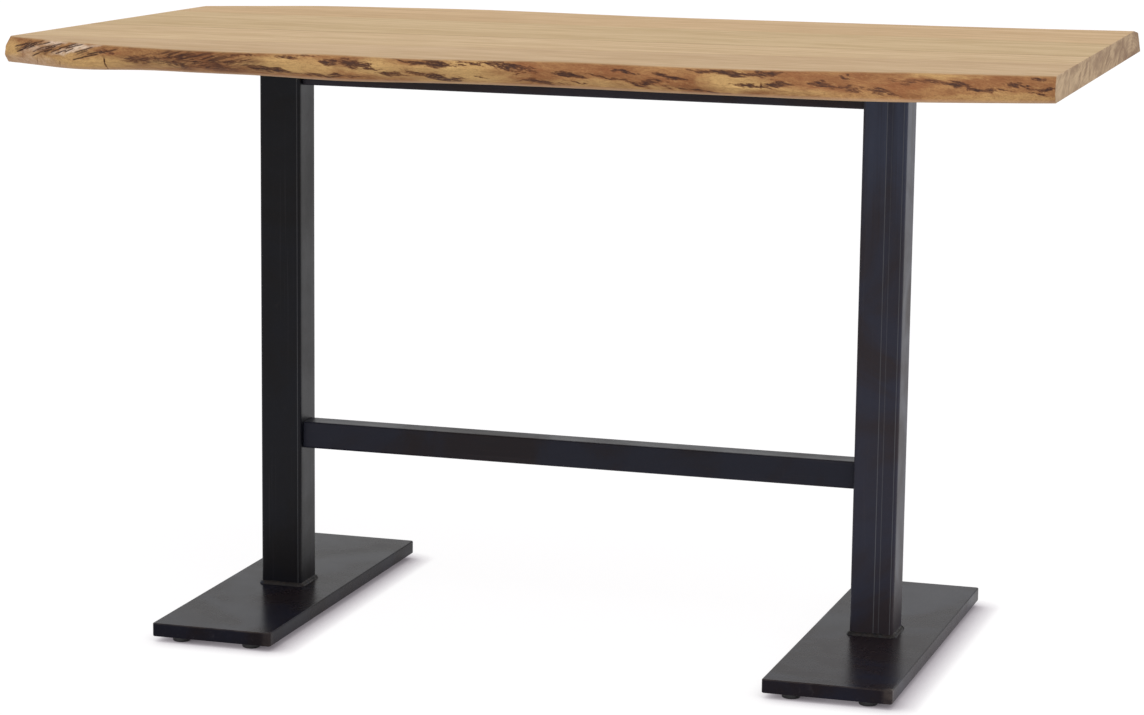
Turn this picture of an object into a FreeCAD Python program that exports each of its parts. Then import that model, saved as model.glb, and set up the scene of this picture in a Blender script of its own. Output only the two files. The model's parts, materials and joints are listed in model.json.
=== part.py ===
import FreeCAD, Part
import math
import os

import Sketcher
from FreeCAD import Rotation, Vector

# Bar table: a live-edge wood top on two square steel columns, each on a thick foot plate, with a
# footrest tube low between the columns and a rail under the top. Millimetres, +Z up. The origin is on
# the floor under the middle of the table's outline, and +X runs along the top to its sawn square end.

SIZES = [
    ("table_height", 1100, "floor to the face of the top"),
    ("slab_length", 1853, "top, from the nose at its left end to the square end"),
    ("slab_depth", 1067, "top, from its foremost to its rearmost point"),
    ("slab_thickness", 45, "top"),
    ("sawn_end_angle", 7.2, "left end, turned from square, in degrees"),
    ("left_overhang", 349, "from the nose to the left column's axis"),
    ("right_overhang", 364, "from the square end to the right column's axis"),
    ("base_setback", 39.5, "middle of the base along Y, from the middle of the top"),
    ("column_width", 80, "square tube, outside"),
    ("column_wall", 4, "square tube"),
    ("column_corner", 6, "outer corner radius"),
    ("tube_width", 50, "footrest and rail, square tube, outside"),
    ("tube_wall", 3, "footrest and rail"),
    ("tube_corner", 4.5, "outer corner radius"),
    ("footrest_height", 300, "floor to the footrest's underside"),
    ("rail_drop", 12, "from the mounting plates down to the upper rail"),
    ("foot_plate_length", 780, "along Y"),
    ("foot_plate_width", 230, "along X"),
    ("foot_plate_thickness", 25, "flat steel"),
    ("foot_plate_corner", 4, "corner radius in plan"),
    ("foot_plate_edge", 1.5, "chamfer on its upper arris"),
    ("mounting_plate_end", 30, "from the outer screws to the plate's end"),
    ("mounting_plate_edge", 20, "from the paired screws to the plate's long edge"),
    ("mounting_plate_thickness", 8, "flat bar"),
    ("weld_leg", 6, "bead at a column's foot and head"),
    ("weld_lip", 0.8, "bead's thickness where it runs out on the column"),
    ("screw_radius", 4, "wood screw's shank"),
    ("screw_length", 44, "under the head"),
    ("screw_point", 7, "tapered end"),
    ("screw_head_radius", 7.5, "hexagon, over its corners"),
    ("screw_head_height", 5.5, "hexagon head"),
    ("screw_flange_radius", 9, "flange under the head"),
    ("screw_flange_thickness", 1.8, "flange under the head"),
    ("screw_clearance", 0.1, "pilot hole over the shank"),
    ("pilot_spare", 1, "pilot hole past the point"),
    ("hole_radius", 4.5, "plate hole and half the width of a slot"),
    ("slot_travel", 12, "room for the wood to move across its grain"),
    ("inner_screw_spacing", 170, "along Y, between the two screws beside a column"),
    ("outer_screw_spacing", 540, "along Y, between the pairs at a plate's ends"),
    ("pair_spacing", 60, "along X, between the two screws of a pair"),
    ("glide_height", 10, "floor to the foot plate's underside"),
    ("glide_radius", 16.5, "pad"),
    ("glide_seat", 6, "stud's depth in the pad"),
    ("glide_side_inset", 47, "glide axis from the plate's long edge"),
    ("glide_end_inset", 27, "glide axis from the plate's end"),
    ("stud_radius", 4, "threaded stud"),
    ("stud_grip", 16, "stud in the plate, screwed home"),
    ("thread_clearance", 0.05, "tapped hole over the stud"),
    ("thread_spare", 2, "tapped hole past the stud"),
    ("overrun", 60, "blanks past their saw cuts"),
]

# Glue lines from front to back: shares of half the depth, at the sawn left end and at the square end.
JOINT_SHARES = ((-0.739, -0.335), (-0.282, -0.100), (0.280, 0.355))

# The sawn left end passes through the nose, this share of half the depth in front of the middle.
NOSE_SHARE = -0.823

# Heights of the four plans of each live edge, as shares of the top's thickness.
FRONT_LEVEL_SHARES = (0, 0.3, 0.65, 1)
BACK_LEVEL_SHARES = (0, 0.55, 0.85, 1)

# Live edges, left to right: share of the length, then a share of half the depth at each of the
# four heights, from the underside to the face. The end points lie past the saw cuts.
FRONT_EDGE_SHARES = (
    (-0.022, -0.773, -0.808, -0.790, -0.730),
    (0.053, -0.882, -0.889, -0.882, -0.861),
    (0.097, -0.929, -0.946, -0.939, -0.912),
    (0.151, -0.876, -0.940, -0.971, -0.968),
    (0.199, -0.882, -0.960, -0.992, -0.995),
    (0.275, -0.891, -0.963, -0.988, -0.989),
    (0.350, -0.940, -0.972, -0.972, -0.955),
    (0.426, -0.899, -0.958, -0.984, -0.979),
    (0.555, -0.867, -0.900, -0.907, -0.893),
    (0.634, -0.880, -0.911, -0.913, -0.897),
    (0.744, -0.888, -0.911, -0.905, -0.884),
    (0.836, -0.888, -0.883, -0.853, -0.814),
    (0.917, -0.822, -0.819, -0.799, -0.768),
    (1.020, -0.697, -0.715, -0.718, -0.709),
)
BACK_EDGE_SHARES = (
    (0.036, 0.424, 0.404, 0.388, 0.355),
    (0.054, 0.554, 0.534, 0.516, 0.483),
    (0.083, 0.631, 0.610, 0.591, 0.561),
    (0.112, 0.674, 0.653, 0.633, 0.604),
    (0.151, 0.728, 0.708, 0.690, 0.661),
    (0.218, 0.775, 0.756, 0.738, 0.706),
    (0.325, 0.824, 0.803, 0.784, 0.753),
    (0.395, 0.828, 0.802, 0.780, 0.745),
    (0.513, 0.807, 0.781, 0.759, 0.721),
    (0.643, 0.839, 0.808, 0.784, 0.739),
    (0.772, 0.876, 0.840, 0.813, 0.762),
    (0.898, 0.933, 0.894, 0.864, 0.796),
    (1.020, 1.016, 0.975, 0.948, 0.852),
)

UNDERSIDE = "(Sizes.table_height - Sizes.slab_thickness)"
PLATE_SEAT = f"({UNDERSIDE} - Sizes.mounting_plate_thickness)"
FOOT_PLATE_TOP = "(Sizes.glide_height + Sizes.foot_plate_thickness)"
HALF_DEPTH = "(Sizes.slab_depth / 2)"
SIDES = ("left", "right")

doc = FreeCAD.newDocument("BarTable")
sheet = doc.addObject("Spreadsheet::Sheet", "Sizes")
for row, (alias, number, meaning) in enumerate(SIZES, 1):
    sheet.set(f"A{row}", meaning)
    sheet.set(f"B{row}", str(number))
    sheet.setAlias(f"B{row}", alias)
doc.recompute()

nodes = []


def value(expression):
    """The number that an expression of the sizes gives."""
    got = sheet.evalExpression(expression.replace("Sizes.", ""))
    return float(got.Value if hasattr(got, "Value") else got)


def bind(thing, **bound):
    """Binds properties to expressions; two underscores stand for a dot."""
    for name, expression in bound.items():
        thing.setExpression(name.replace("__", "."), expression)


def place(thing, x="0", y="0", z="0"):
    """Binds the place of an object's own origin."""
    for axis, expression in (("x", x), ("y", y), ("z", z)):
        thing.setExpression(f"Placement.Base.{axis}", expression)


def finish_node(thing, label):
    """Names a finished sub-part and keeps it for the list of files."""
    thing.Label = label
    nodes.append(thing)
    return thing


def column_x(side):
    """Where a column's axis lies along X."""
    if side == "left":
        return "(Sizes.left_overhang - Sizes.slab_length / 2)"
    return "(Sizes.slab_length / 2 - Sizes.right_overhang)"


# Bodies and sketches


def new_body(name):
    return doc.addObject("PartDesign::Body", name)


def new_sketch(body, name, plane="XY_Plane", lift=None):
    """A sketch on one of the body's own origin planes, lifted along the plane's normal."""
    sketch = body.newObject("Sketcher::SketchObject", name)
    support = [part for part in body.Origin.OriginFeatures if part.Role == plane][0]
    sketch.AttachmentSupport = [(support, "")]
    sketch.MapMode = "FlatFace"
    if lift:
        sketch.setExpression("AttachmentOffset.Base.z", lift)
    return sketch


def constrain(sketch, kind, elements, expression=None):
    """Adds a constraint, bound to an expression where it has a size."""
    if expression is None:
        return sketch.addConstraint(Sketcher.Constraint(kind, *elements))
    index = sketch.addConstraint(Sketcher.Constraint(kind, *elements, value(expression)))
    sketch.setExpression(f"Constraints[{index}]", expression)
    return index


def fix_point(sketch, line, end, x, y):
    """Fixes one end of a line or arc at a place from the sketch's origin."""
    constrain(sketch, "DistanceX", (-1, 1, line, end), x)
    constrain(sketch, "DistanceY", (-1, 1, line, end), y)


def polygon(sketch, corners):
    """A closed outline of straight lines through corners given as pairs of expressions."""
    points = [Vector(value(x), value(y), 0) for x, y in corners]
    count = len(points)
    lines = [
        sketch.addGeometry(Part.LineSegment(points[i], points[(i + 1) % count]), False)
        for i in range(count)
    ]
    for i, line in enumerate(lines):
        constrain(sketch, "Coincident", (line, 2, lines[(i + 1) % count], 1))
    for line, (x, y) in zip(lines, corners):
        fix_point(sketch, line, 1, x, y)


def rectangle(sketch, wide, deep):
    """A plain rectangle about the sketch's origin."""
    signs = (("-1", "-1"), ("1", "-1"), ("1", "1"), ("-1", "1"))
    polygon(sketch, [(f"({a} * {wide} / 2)", f"({b} * {deep} / 2)") for a, b in signs])


def rounded_rectangle(sketch, wide, deep, corner):
    """A rectangle about the sketch's origin with four equal corner arcs."""
    w, d, r = value(wide) / 2, value(deep) / 2, value(corner)
    ends = [
        ((-w + r, -d), (w - r, -d)),
        ((w, -d + r), (w, d - r)),
        ((w - r, d), (-w + r, d)),
        ((-w, d - r), (-w, -d + r)),
    ]
    lines = [
        sketch.addGeometry(Part.LineSegment(Vector(*a, 0), Vector(*b, 0)), False) for a, b in ends
    ]
    centres = [(w - r, -d + r), (w - r, d - r), (-w + r, d - r), (-w + r, -d + r)]
    arcs = []
    for i, centre in enumerate(centres):
        circle = Part.Circle(Vector(*centre, 0), Vector(0, 0, 1), r)
        start = (i - 1) * math.pi / 2
        arc = Part.ArcOfCircle(circle, start, start + math.pi / 2)
        arcs.append(sketch.addGeometry(arc, False))
    for i in range(len(lines)):
        constrain(sketch, "Tangent", (lines[i], 2, arcs[i], 1))
        constrain(sketch, "Tangent", (arcs[i], 2, lines[(i + 1) % len(lines)], 1))
        constrain(sketch, "Vertical" if i % 2 else "Horizontal", (lines[i],))
    for arc in arcs[1:]:
        constrain(sketch, "Equal", (arcs[0], arc))
    constrain(sketch, "Symmetric", (arcs[0], 3, arcs[2], 3, -1, 1))
    constrain(sketch, "Radius", (arcs[0],), corner)
    constrain(sketch, "DistanceX", (lines[3], 1, lines[1], 1), wide)
    constrain(sketch, "DistanceY", (lines[0], 1, lines[2], 1), deep)


def circle(sketch, x, y, radius):
    """A full circle at a place from the sketch's origin."""
    round_edge = Part.Circle(Vector(value(x), value(y), 0), Vector(0, 0, 1), value(radius))
    index = sketch.addGeometry(round_edge, False)
    fix_point(sketch, index, 3, x, y)
    constrain(sketch, "Radius", (index,), radius)


def slot(sketch, x, y, travel, radius):
    """A slot along the sketch's Y, its middle at a place from the sketch's origin."""
    cx, cy, half, r = value(x), value(y), value(travel) / 2, value(radius)
    top = Part.Circle(Vector(cx, cy + half, 0), Vector(0, 0, 1), r)
    low = Part.Circle(Vector(cx, cy - half, 0), Vector(0, 0, 1), r)
    upper = sketch.addGeometry(Part.ArcOfCircle(top, 0, math.pi), False)
    lower = sketch.addGeometry(Part.ArcOfCircle(low, math.pi, 2 * math.pi), False)
    left = sketch.addGeometry(
        Part.LineSegment(Vector(cx - r, cy + half, 0), Vector(cx - r, cy - half, 0)), False
    )
    right = sketch.addGeometry(
        Part.LineSegment(Vector(cx + r, cy - half, 0), Vector(cx + r, cy + half, 0)), False
    )
    for first, second in ((upper, left), (left, lower), (lower, right), (right, upper)):
        constrain(sketch, "Tangent", (first, 2, second, 1))
    constrain(sketch, "Equal", (upper, lower))
    constrain(sketch, "Radius", (upper,), radius)
    fix_point(sketch, upper, 3, x, f"({y}) + ({travel}) / 2")
    fix_point(sketch, lower, 3, x, f"({y}) - ({travel}) / 2")


def pad(body, sketch, length, name="Pad"):
    feature = body.newObject("PartDesign::Pad", name)
    feature.Profile = sketch
    bind(feature, Length=length)
    return feature


def pocket(body, sketch, depth, name="Pocket"):
    """Cuts from the sketch's plane along its normal, and checks that something was cut."""
    before = body.Tip
    doc.recompute()
    volume = before.Shape.Volume
    feature = body.newObject("PartDesign::Pocket", name)
    feature.Profile = sketch
    feature.Reversed = True
    bind(feature, Length=depth)
    doc.recompute()
    if feature.Shape.Volume >= volume:
        raise RuntimeError(f"{name} in {body.Name} cut nothing")
    return feature


def top_edges(feature):
    """Names of the edges round a prism's upper face."""
    doc.recompute()
    height = feature.Shape.BoundBox.ZMax
    level = [edge.CenterOfMass.z for edge in feature.Shape.Edges]
    return [f"Edge{i}" for i, z in enumerate(level, 1) if math.isclose(z, height)]


# The top


def sawn_end_x(y):
    """Where the sawn left end lies along X, at a place along Y."""
    nose = f"({NOSE_SHARE} * {HALF_DEPTH})"
    return f"(-Sizes.slab_length / 2 + (({y}) - {nose}) * tan(Sizes.sawn_end_angle * 1 deg))"


def board_corners(front, back):
    """Plan of a board between two lines, each given as its Y at the sawn and at the square end."""
    square_end = "(Sizes.slab_length / 2)"
    return [
        (sawn_end_x(front[0]), front[0]),
        (square_end, front[1]),
        (square_end, back[1]),
        (sawn_end_x(back[0]), back[0]),
    ]


def joint_line(index):
    return tuple(f"({share} * {HALF_DEPTH})" for share in JOINT_SHARES[index])


def screw_places(side):
    """The screws of one mounting plate, from the table's origin: x, y, and whether in a slot."""
    for along in ("-1", "1"):
        for across in ("-1", "1"):
            x = f"({column_x(side)} + {across} * Sizes.pair_spacing / 2)"
            yield x, f"(Sizes.base_setback + {along} * Sizes.outer_screw_spacing / 2)", True
        inner = f"(Sizes.base_setback + {along} * Sizes.inner_screw_spacing / 2)"
        yield column_x(side), inner, False


def joint_y(index, x):
    """Where a glue line lies along Y, at a place along X."""
    left, right = (value(y) for y in joint_line(index))
    start, end = value(sawn_end_x(joint_line(index)[0])), value("Sizes.slab_length / 2")
    return left + (right - left) * (x - start) / (end - start)


def pilot_places(board):
    """The pilot holes that reach into one board, counted from the front."""
    for side in SIDES:
        for x, y, _ in screw_places(side):
            lines = [joint_y(i, value(x)) for i in range(len(JOINT_SHARES))]
            near = value(y) - value(PILOT_RADIUS), value(y) + value(PILOT_RADIUS)
            if sum(near[0] > line for line in lines) <= board <= sum(near[1] > line for line in lines):
                yield x, y


PILOT_RADIUS = "(Sizes.screw_radius + Sizes.screw_clearance)"
PILOT_DEPTH = "(Sizes.screw_length + Sizes.pilot_spare - Sizes.mounting_plate_thickness)"


def inner_board(board, label):
    """A straight board between two glue lines, with its pilot holes from below."""
    body = new_body(f"Board{board}")
    plan = new_sketch(body, f"Board{board}Plan")
    polygon(plan, board_corners(joint_line(board - 1), joint_line(board)))
    pad(body, plan, "Sizes.slab_thickness", f"Board{board}Pad")
    pilots = list(pilot_places(board))
    if pilots:
        holes = new_sketch(body, f"Board{board}Holes")
        for x, y in pilots:
            circle(holes, x, y, PILOT_RADIUS)
        pocket(body, holes, PILOT_DEPTH, f"Board{board}Pilots")
    place(body, z=UNDERSIDE)
    finish_node(body, label)


def live_outline(name, table, column, level_share):
    """Plan of a plank at one height: a curve along the live edge, closed at the top's middle line."""
    length, half = value("Sizes.slab_length"), value(HALF_DEPTH)
    level = level_share * value("Sizes.slab_thickness")
    points = [Vector((row[0] - 0.5) * length, row[column] * half, level) for row in table]
    edge = Part.BSplineCurve()
    edge.interpolate(Points=points, Parameters=[row[0] for row in table])
    right = Vector(points[-1].x, 0, level)
    left = Vector(points[0].x, 0, level)
    closing = [(points[-1], right), (right, left), (left, points[0])]
    wire = Part.Wire([edge.toShape()] + [Part.LineSegment(a, b).toShape() for a, b in closing])
    outline = doc.addObject("Part::Feature", name)
    outline.Shape = wire
    return outline


def live_board(board, label, table, level_shares, front, back):
    """A board with one live edge: a plank lofted through its plans, sawn to its lines, drilled."""
    name = f"Board{board}"
    plank = doc.addObject("Part::Loft", f"{name}Plank")
    plank.Sections = [
        live_outline(f"{name}Plan{column}", table, column, level_share)
        for column, level_share in enumerate(level_shares, 1)
    ]
    plank.Solid = True
    plank.Ruled = True
    cut = doc.addObject("Sketcher::SketchObject", f"{name}SawLines")
    polygon(cut, board_corners(front, back))
    block = doc.addObject("Part::Extrusion", f"{name}Block")
    block.Base = cut
    block.DirMode = "Normal"
    block.Solid = True
    bind(block, LengthFwd="Sizes.slab_thickness")
    sawn = doc.addObject("Part::Common", f"{name}Sawn")
    sawn.Base = plank
    sawn.Tool = block
    drills = []
    for i, (x, y) in enumerate(pilot_places(board)):
        drill = doc.addObject("Part::Cylinder", f"{name}Drill{i}")
        bind(drill, Radius=PILOT_RADIUS, Height=PILOT_DEPTH)
        place(drill, x, y)
        drills.append(drill)
    finished = sawn
    if drills:
        holes = doc.addObject("Part::Compound", f"{name}Drills")
        holes.Links = drills
        finished = doc.addObject("Part::Cut", f"{name}Drilled")
        finished.Base = sawn
        finished.Tool = holes
    place(finished, z=UNDERSIDE)
    finish_node(finished, label)


def make_top():
    reach = f"({HALF_DEPTH} + Sizes.overrun)"
    live_board(
        0,
        "top_front_board",
        FRONT_EDGE_SHARES,
        FRONT_LEVEL_SHARES,
        (f"(-{reach})",) * 2,
        joint_line(0),
    )
    inner_board(1, "top_inner_board_1")
    inner_board(2, "top_inner_board_2")
    live_board(
        3,
        "top_back_board",
        BACK_EDGE_SHARES,
        BACK_LEVEL_SHARES,
        joint_line(2),
        (reach,) * 2,
    )


# The steel base


def tube_profile(sketch, wide, wall, corner):
    """The section of a square tube: its outside, and its inside with the corner less the wall."""
    rounded_rectangle(sketch, wide, wide, corner)
    inside = f"({wide} - 2 * {wall})"
    rounded_rectangle(sketch, inside, inside, f"({corner} - {wall})")


def column(side):
    body = new_body(f"{side}Column")
    section = new_sketch(body, f"{side}ColumnSection")
    tube_profile(section, "Sizes.column_width", "Sizes.column_wall", "Sizes.column_corner")
    pad(body, section, f"{PLATE_SEAT} - {FOOT_PLATE_TOP}", f"{side}ColumnPad")
    place(body, column_x(side), "Sizes.base_setback", FOOT_PLATE_TOP)
    finish_node(body, f"{side}_column")


def cross_tube(name, label, height):
    """A tube along X from one column's inner face to the other's."""
    body = new_body(name)
    section = new_sketch(body, f"{name}Section", "YZ_Plane")
    tube_profile(section, "Sizes.tube_width", "Sizes.tube_wall", "Sizes.tube_corner")
    start, end = (f"({column_x(side)} - {sign} * Sizes.column_width / 2)"
                  for side, sign in (("left", "-1"), ("right", "1")))
    pad(body, section, f"({end} - {start})", f"{name}Pad")
    place(body, start, "Sizes.base_setback", f"({height} + Sizes.tube_width / 2)")
    finish_node(body, label)


def glide_offsets():
    """The four glides of a foot plate, from its middle: name, x sign, y sign."""
    for end, along in (("front", "-1"), ("back", "1")):
        for edge, across in (("left", "-1"), ("right", "1")):
            yield f"{end}_{edge}", across, along


def glide_x(across):
    return f"({across} * (Sizes.foot_plate_width / 2 - Sizes.glide_side_inset))"


def glide_y(along):
    return f"({along} * (Sizes.foot_plate_length / 2 - Sizes.glide_end_inset))"


def foot_plate(side):
    """A thick plate with its upper arris chamfered and four tapped blind holes for its glides."""
    body = new_body(f"{side}FootPlate")
    plan = new_sketch(body, f"{side}FootPlatePlan")
    rounded_rectangle(
        plan, "Sizes.foot_plate_width", "Sizes.foot_plate_length", "Sizes.foot_plate_corner"
    )
    plate = pad(body, plan, "Sizes.foot_plate_thickness", f"{side}FootPlatePad")
    arris = body.newObject("PartDesign::Chamfer", f"{side}FootPlateArris")
    arris.Base = (plate, top_edges(plate))
    bind(arris, Size="Sizes.foot_plate_edge")
    body.Tip = arris
    holes = new_sketch(body, f"{side}FootPlateHoles")
    for _, across, along in glide_offsets():
        radius = "(Sizes.stud_radius + Sizes.thread_clearance)"
        circle(holes, glide_x(across), glide_y(along), radius)
    pocket(body, holes, "(Sizes.stud_grip + Sizes.thread_spare)", f"{side}FootPlateTapped")
    place(body, column_x(side), "Sizes.base_setback", "Sizes.glide_height")
    finish_node(body, f"{side}_foot_plate")


def weld_bead(side, where, height, upside_down=False):
    """A fillet weld round a column: its foot lofted to its lip, less the column's outline."""
    name = f"{side}{where}Weld"
    body = new_body(name)
    plans = []
    for up, reach in (("0", "Sizes.weld_leg"), ("Sizes.weld_leg", "Sizes.weld_lip")):
        plan = new_sketch(body, f"{name}Plan{len(plans)}", lift=up)
        wide = f"(Sizes.column_width + 2 * {reach})"
        rounded_rectangle(plan, wide, wide, f"(Sizes.column_corner + {reach})")
        plans.append(plan)
    bead = body.newObject("PartDesign::AdditiveLoft", f"{name}Bead")
    bead.Profile = plans[0]
    bead.Sections = plans[1:]
    inside = new_sketch(body, f"{name}Inside")
    rounded_rectangle(
        inside, "Sizes.column_width", "Sizes.column_width", "Sizes.column_corner"
    )
    pocket(body, inside, "Sizes.weld_leg", f"{name}Bore")
    if upside_down:
        body.Placement.Rotation = Rotation(Vector(1, 0, 0), 180)
    place(body, column_x(side), "Sizes.base_setback", height)
    return body


def column_welds(side):
    """The beads at a column's foot and head, as one group of two solids."""
    welds = doc.addObject("Part::Compound", f"{side}Welds")
    welds.Links = [
        weld_bead(side, "Foot", FOOT_PLATE_TOP),
        weld_bead(side, "Head", PLATE_SEAT, upside_down=True),
    ]
    finish_node(welds, f"{side}_column_welds")


def mounting_plate(side):
    """The flat bar under the top: round holes near the column, slots near the ends."""
    body = new_body(f"{side}MountingPlate")
    plan = new_sketch(body, f"{side}MountingPlatePlan")
    rectangle(
        plan,
        "(Sizes.pair_spacing + 2 * Sizes.mounting_plate_edge)",
        "(Sizes.outer_screw_spacing + 2 * Sizes.mounting_plate_end)",
    )
    for x, y, slotted in screw_places(side):
        from_axis = (f"({x} - {column_x(side)})", f"({y} - Sizes.base_setback)")
        if slotted:
            slot(plan, *from_axis, "Sizes.slot_travel", "Sizes.hole_radius")
        else:
            circle(plan, *from_axis, "Sizes.hole_radius")
    pad(body, plan, "Sizes.mounting_plate_thickness", f"{side}MountingPlatePad")
    place(body, column_x(side), "Sizes.base_setback", PLATE_SEAT)
    finish_node(body, f"{side}_mounting_plate")


# Fasteners and glides


def wood_screw(name, x, y):
    """A hexagon wood screw, head down: head, flange, shank and point as one solid."""
    head = doc.addObject("Part::Prism", f"{name}Head")
    head.Polygon = 6
    bind(head, Circumradius="Sizes.screw_head_radius", Height="Sizes.screw_head_height")
    flange_place = f"({PLATE_SEAT} - Sizes.screw_flange_thickness)"
    place(head, x, y, f"({flange_place} - Sizes.screw_head_height)")
    flange = doc.addObject("Part::Cylinder", f"{name}Flange")
    bind(flange, Radius="Sizes.screw_flange_radius", Height="Sizes.screw_flange_thickness")
    place(flange, x, y, flange_place)
    shank = doc.addObject("Part::Cylinder", f"{name}Shank")
    bind(shank, Radius="Sizes.screw_radius", Height="Sizes.screw_length - Sizes.screw_point")
    place(shank, x, y, PLATE_SEAT)
    point = doc.addObject("Part::Cone", f"{name}Point")
    point.Radius2 = 0
    bind(point, Radius1="Sizes.screw_radius", Height="Sizes.screw_point")
    place(point, x, y, f"({PLATE_SEAT} + Sizes.screw_length - Sizes.screw_point)")
    screw = doc.addObject("Part::MultiFuse", name)
    screw.Shapes = [head, flange, shank, point]
    return screw


def top_screws(side):
    """The screws of one mounting plate, as one group."""
    group = doc.addObject("Part::Compound", f"{side}Screws")
    group.Links = [
        wood_screw(f"{side}Screw{i}", x, y) for i, (x, y, _) in enumerate(screw_places(side))
    ]
    finish_node(group, f"{side}_top_screws")


def glide_pad(name, label, x, y):
    """A round pad, turned about its axis, with the stud's seat in its upper face."""
    body = new_body(name)
    profile = new_sketch(body, f"{name}Profile", "XZ_Plane")
    seat = "(Sizes.glide_height - Sizes.glide_seat)"
    corners = [
        ("0", "0"),
        ("Sizes.glide_radius", "0"),
        ("Sizes.glide_radius", "Sizes.glide_height"),
        ("Sizes.stud_radius", "Sizes.glide_height"),
        ("Sizes.stud_radius", seat),
        ("0", seat),
    ]
    polygon(profile, corners)
    turned = body.newObject("PartDesign::Revolution", f"{name}Turned")
    turned.Profile = profile
    turned.ReferenceAxis = (profile, ["V_Axis"])
    turned.Angle = 360
    place(body, x, y)
    finish_node(body, label)


def glide_stud(name, label, x, y):
    """The stud between the pad and the foot plate."""
    body = new_body(name)
    section = new_sketch(body, f"{name}Section")
    circle(section, "0", "0", "Sizes.stud_radius")
    pad(body, section, "(Sizes.glide_seat + Sizes.stud_grip)", f"{name}Rod")
    place(body, x, y, "(Sizes.glide_height - Sizes.glide_seat)")
    finish_node(body, label)


def glides(side):
    for where, across, along in glide_offsets():
        x = f"({column_x(side)} + {glide_x(across)})"
        y = f"(Sizes.base_setback + {glide_y(along)})"
        name = side + "".join(word.capitalize() for word in where.split("_"))
        glide_pad(f"{name}Pad", f"{side}_{where}_glide_pad", x, y)
        glide_stud(f"{name}Stud", f"{side}_{where}_glide_stud", x, y)


def make_base():
    for side in SIDES:
        foot_plate(side)
        column(side)
        mounting_plate(side)
        column_welds(side)
        top_screws(side)
        glides(side)
    cross_tube("Footrest", "footrest_tube", "Sizes.footrest_height")
    rail_height = f"({PLATE_SEAT} - Sizes.rail_drop - Sizes.tube_width)"
    cross_tube("Rail", "upper_rail", rail_height)


def check_document():
    """Stops if any object failed to build, or if a sub-part has no sound shape."""
    for thing in doc.Objects:
        if {"Invalid", "Error"} & set(thing.State):
            raise RuntimeError(f"{thing.Name} failed: {thing.State}")
    for node in nodes:
        if node.Shape.isNull() or not node.Shape.isValid():
            raise RuntimeError(f"{node.Label} has no sound shape")


def write_files():
    os.makedirs("parts", exist_ok=True)
    for node in nodes:
        node.Shape.exportStep(f"parts/{node.Label}.step")
        box = node.Shape.BoundBox
        print(
            f"{node.Label}: {len(node.Shape.Solids)} solid(s), {node.Shape.Volume / 1000:.1f} cm3,"
            f" x {box.XMin:.1f} to {box.XMax:.1f}, y {box.YMin:.1f} to {box.YMax:.1f},"
            f" z {box.ZMin:.1f} to {box.ZMax:.1f}"
        )


make_top()
make_base()
doc.recompute()
check_document()
write_files()
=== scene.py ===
"""The looks of a bar table: four boards with live edges, on a welded base of black steel.

Lengths are in metres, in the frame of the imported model: +Z is up and the floor is at zero.
X runs along the table and Y from the seen long side to the far one.
"""

import json
import math

import bpy
import numpy as np
from bpy.props import FloatProperty, FloatVectorProperty, PointerProperty
from mathutils import Matrix, Vector
from mathutils.bvhtree import BVHTree


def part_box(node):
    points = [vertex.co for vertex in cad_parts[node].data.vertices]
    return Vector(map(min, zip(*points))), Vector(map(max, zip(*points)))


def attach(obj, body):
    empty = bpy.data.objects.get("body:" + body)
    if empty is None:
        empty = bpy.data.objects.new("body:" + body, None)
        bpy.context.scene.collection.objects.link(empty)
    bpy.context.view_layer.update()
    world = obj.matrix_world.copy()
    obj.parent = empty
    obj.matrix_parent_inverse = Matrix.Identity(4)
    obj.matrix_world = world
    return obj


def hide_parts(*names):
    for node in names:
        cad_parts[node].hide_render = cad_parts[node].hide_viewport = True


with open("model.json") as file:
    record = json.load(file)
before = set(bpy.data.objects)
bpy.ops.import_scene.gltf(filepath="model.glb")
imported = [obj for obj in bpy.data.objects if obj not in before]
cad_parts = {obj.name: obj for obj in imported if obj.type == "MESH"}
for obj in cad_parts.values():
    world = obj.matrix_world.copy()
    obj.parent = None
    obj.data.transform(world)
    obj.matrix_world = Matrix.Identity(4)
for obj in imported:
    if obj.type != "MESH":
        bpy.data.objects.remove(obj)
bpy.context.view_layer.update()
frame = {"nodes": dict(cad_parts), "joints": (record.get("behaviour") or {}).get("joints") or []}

bl_info = {
    "name": "Bar table with live edges",
    "version": (1, 0, 0),
    "blender": (4, 5, 0),
    "location": "View3D > Sidebar > Bar table",
    "description": "Builds the boards, steel base, glides and studio of a bar table",
    "category": "Object",
}

MM = 0.001
TABLE = "table"
SIDES = ("left", "right")
PICTURE_SIZE = (1144, 715)
# Faces that meet at a larger angle than this show a crisp edge.
SHARP_ANGLE = math.radians(38)
# Sine waves in a sum of waves, and faces round half an arris.
WAVE_COUNT = 14
ARRIS_FACES = 4


def srgb(red, green, blue):
    """A colour picked on a screen, 0 to 255, as the linear colour that shaders take."""
    screen = np.array((red, green, blue)) / 255
    linear = np.where(screen <= 0.04045, screen / 12.92, ((screen + 0.055) / 1.055) ** 2.4)
    return tuple(float(part) for part in linear)


def length(name, description, value):
    """A length that a user may change, in metres."""
    return FloatProperty(name=name, description=description, default=value, subtype="DISTANCE", unit="LENGTH")


def colour(name, description, value):
    """A colour that a user may change."""
    return FloatVectorProperty(name=name, description=description, default=value, subtype="COLOR", min=0, max=1)


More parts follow.
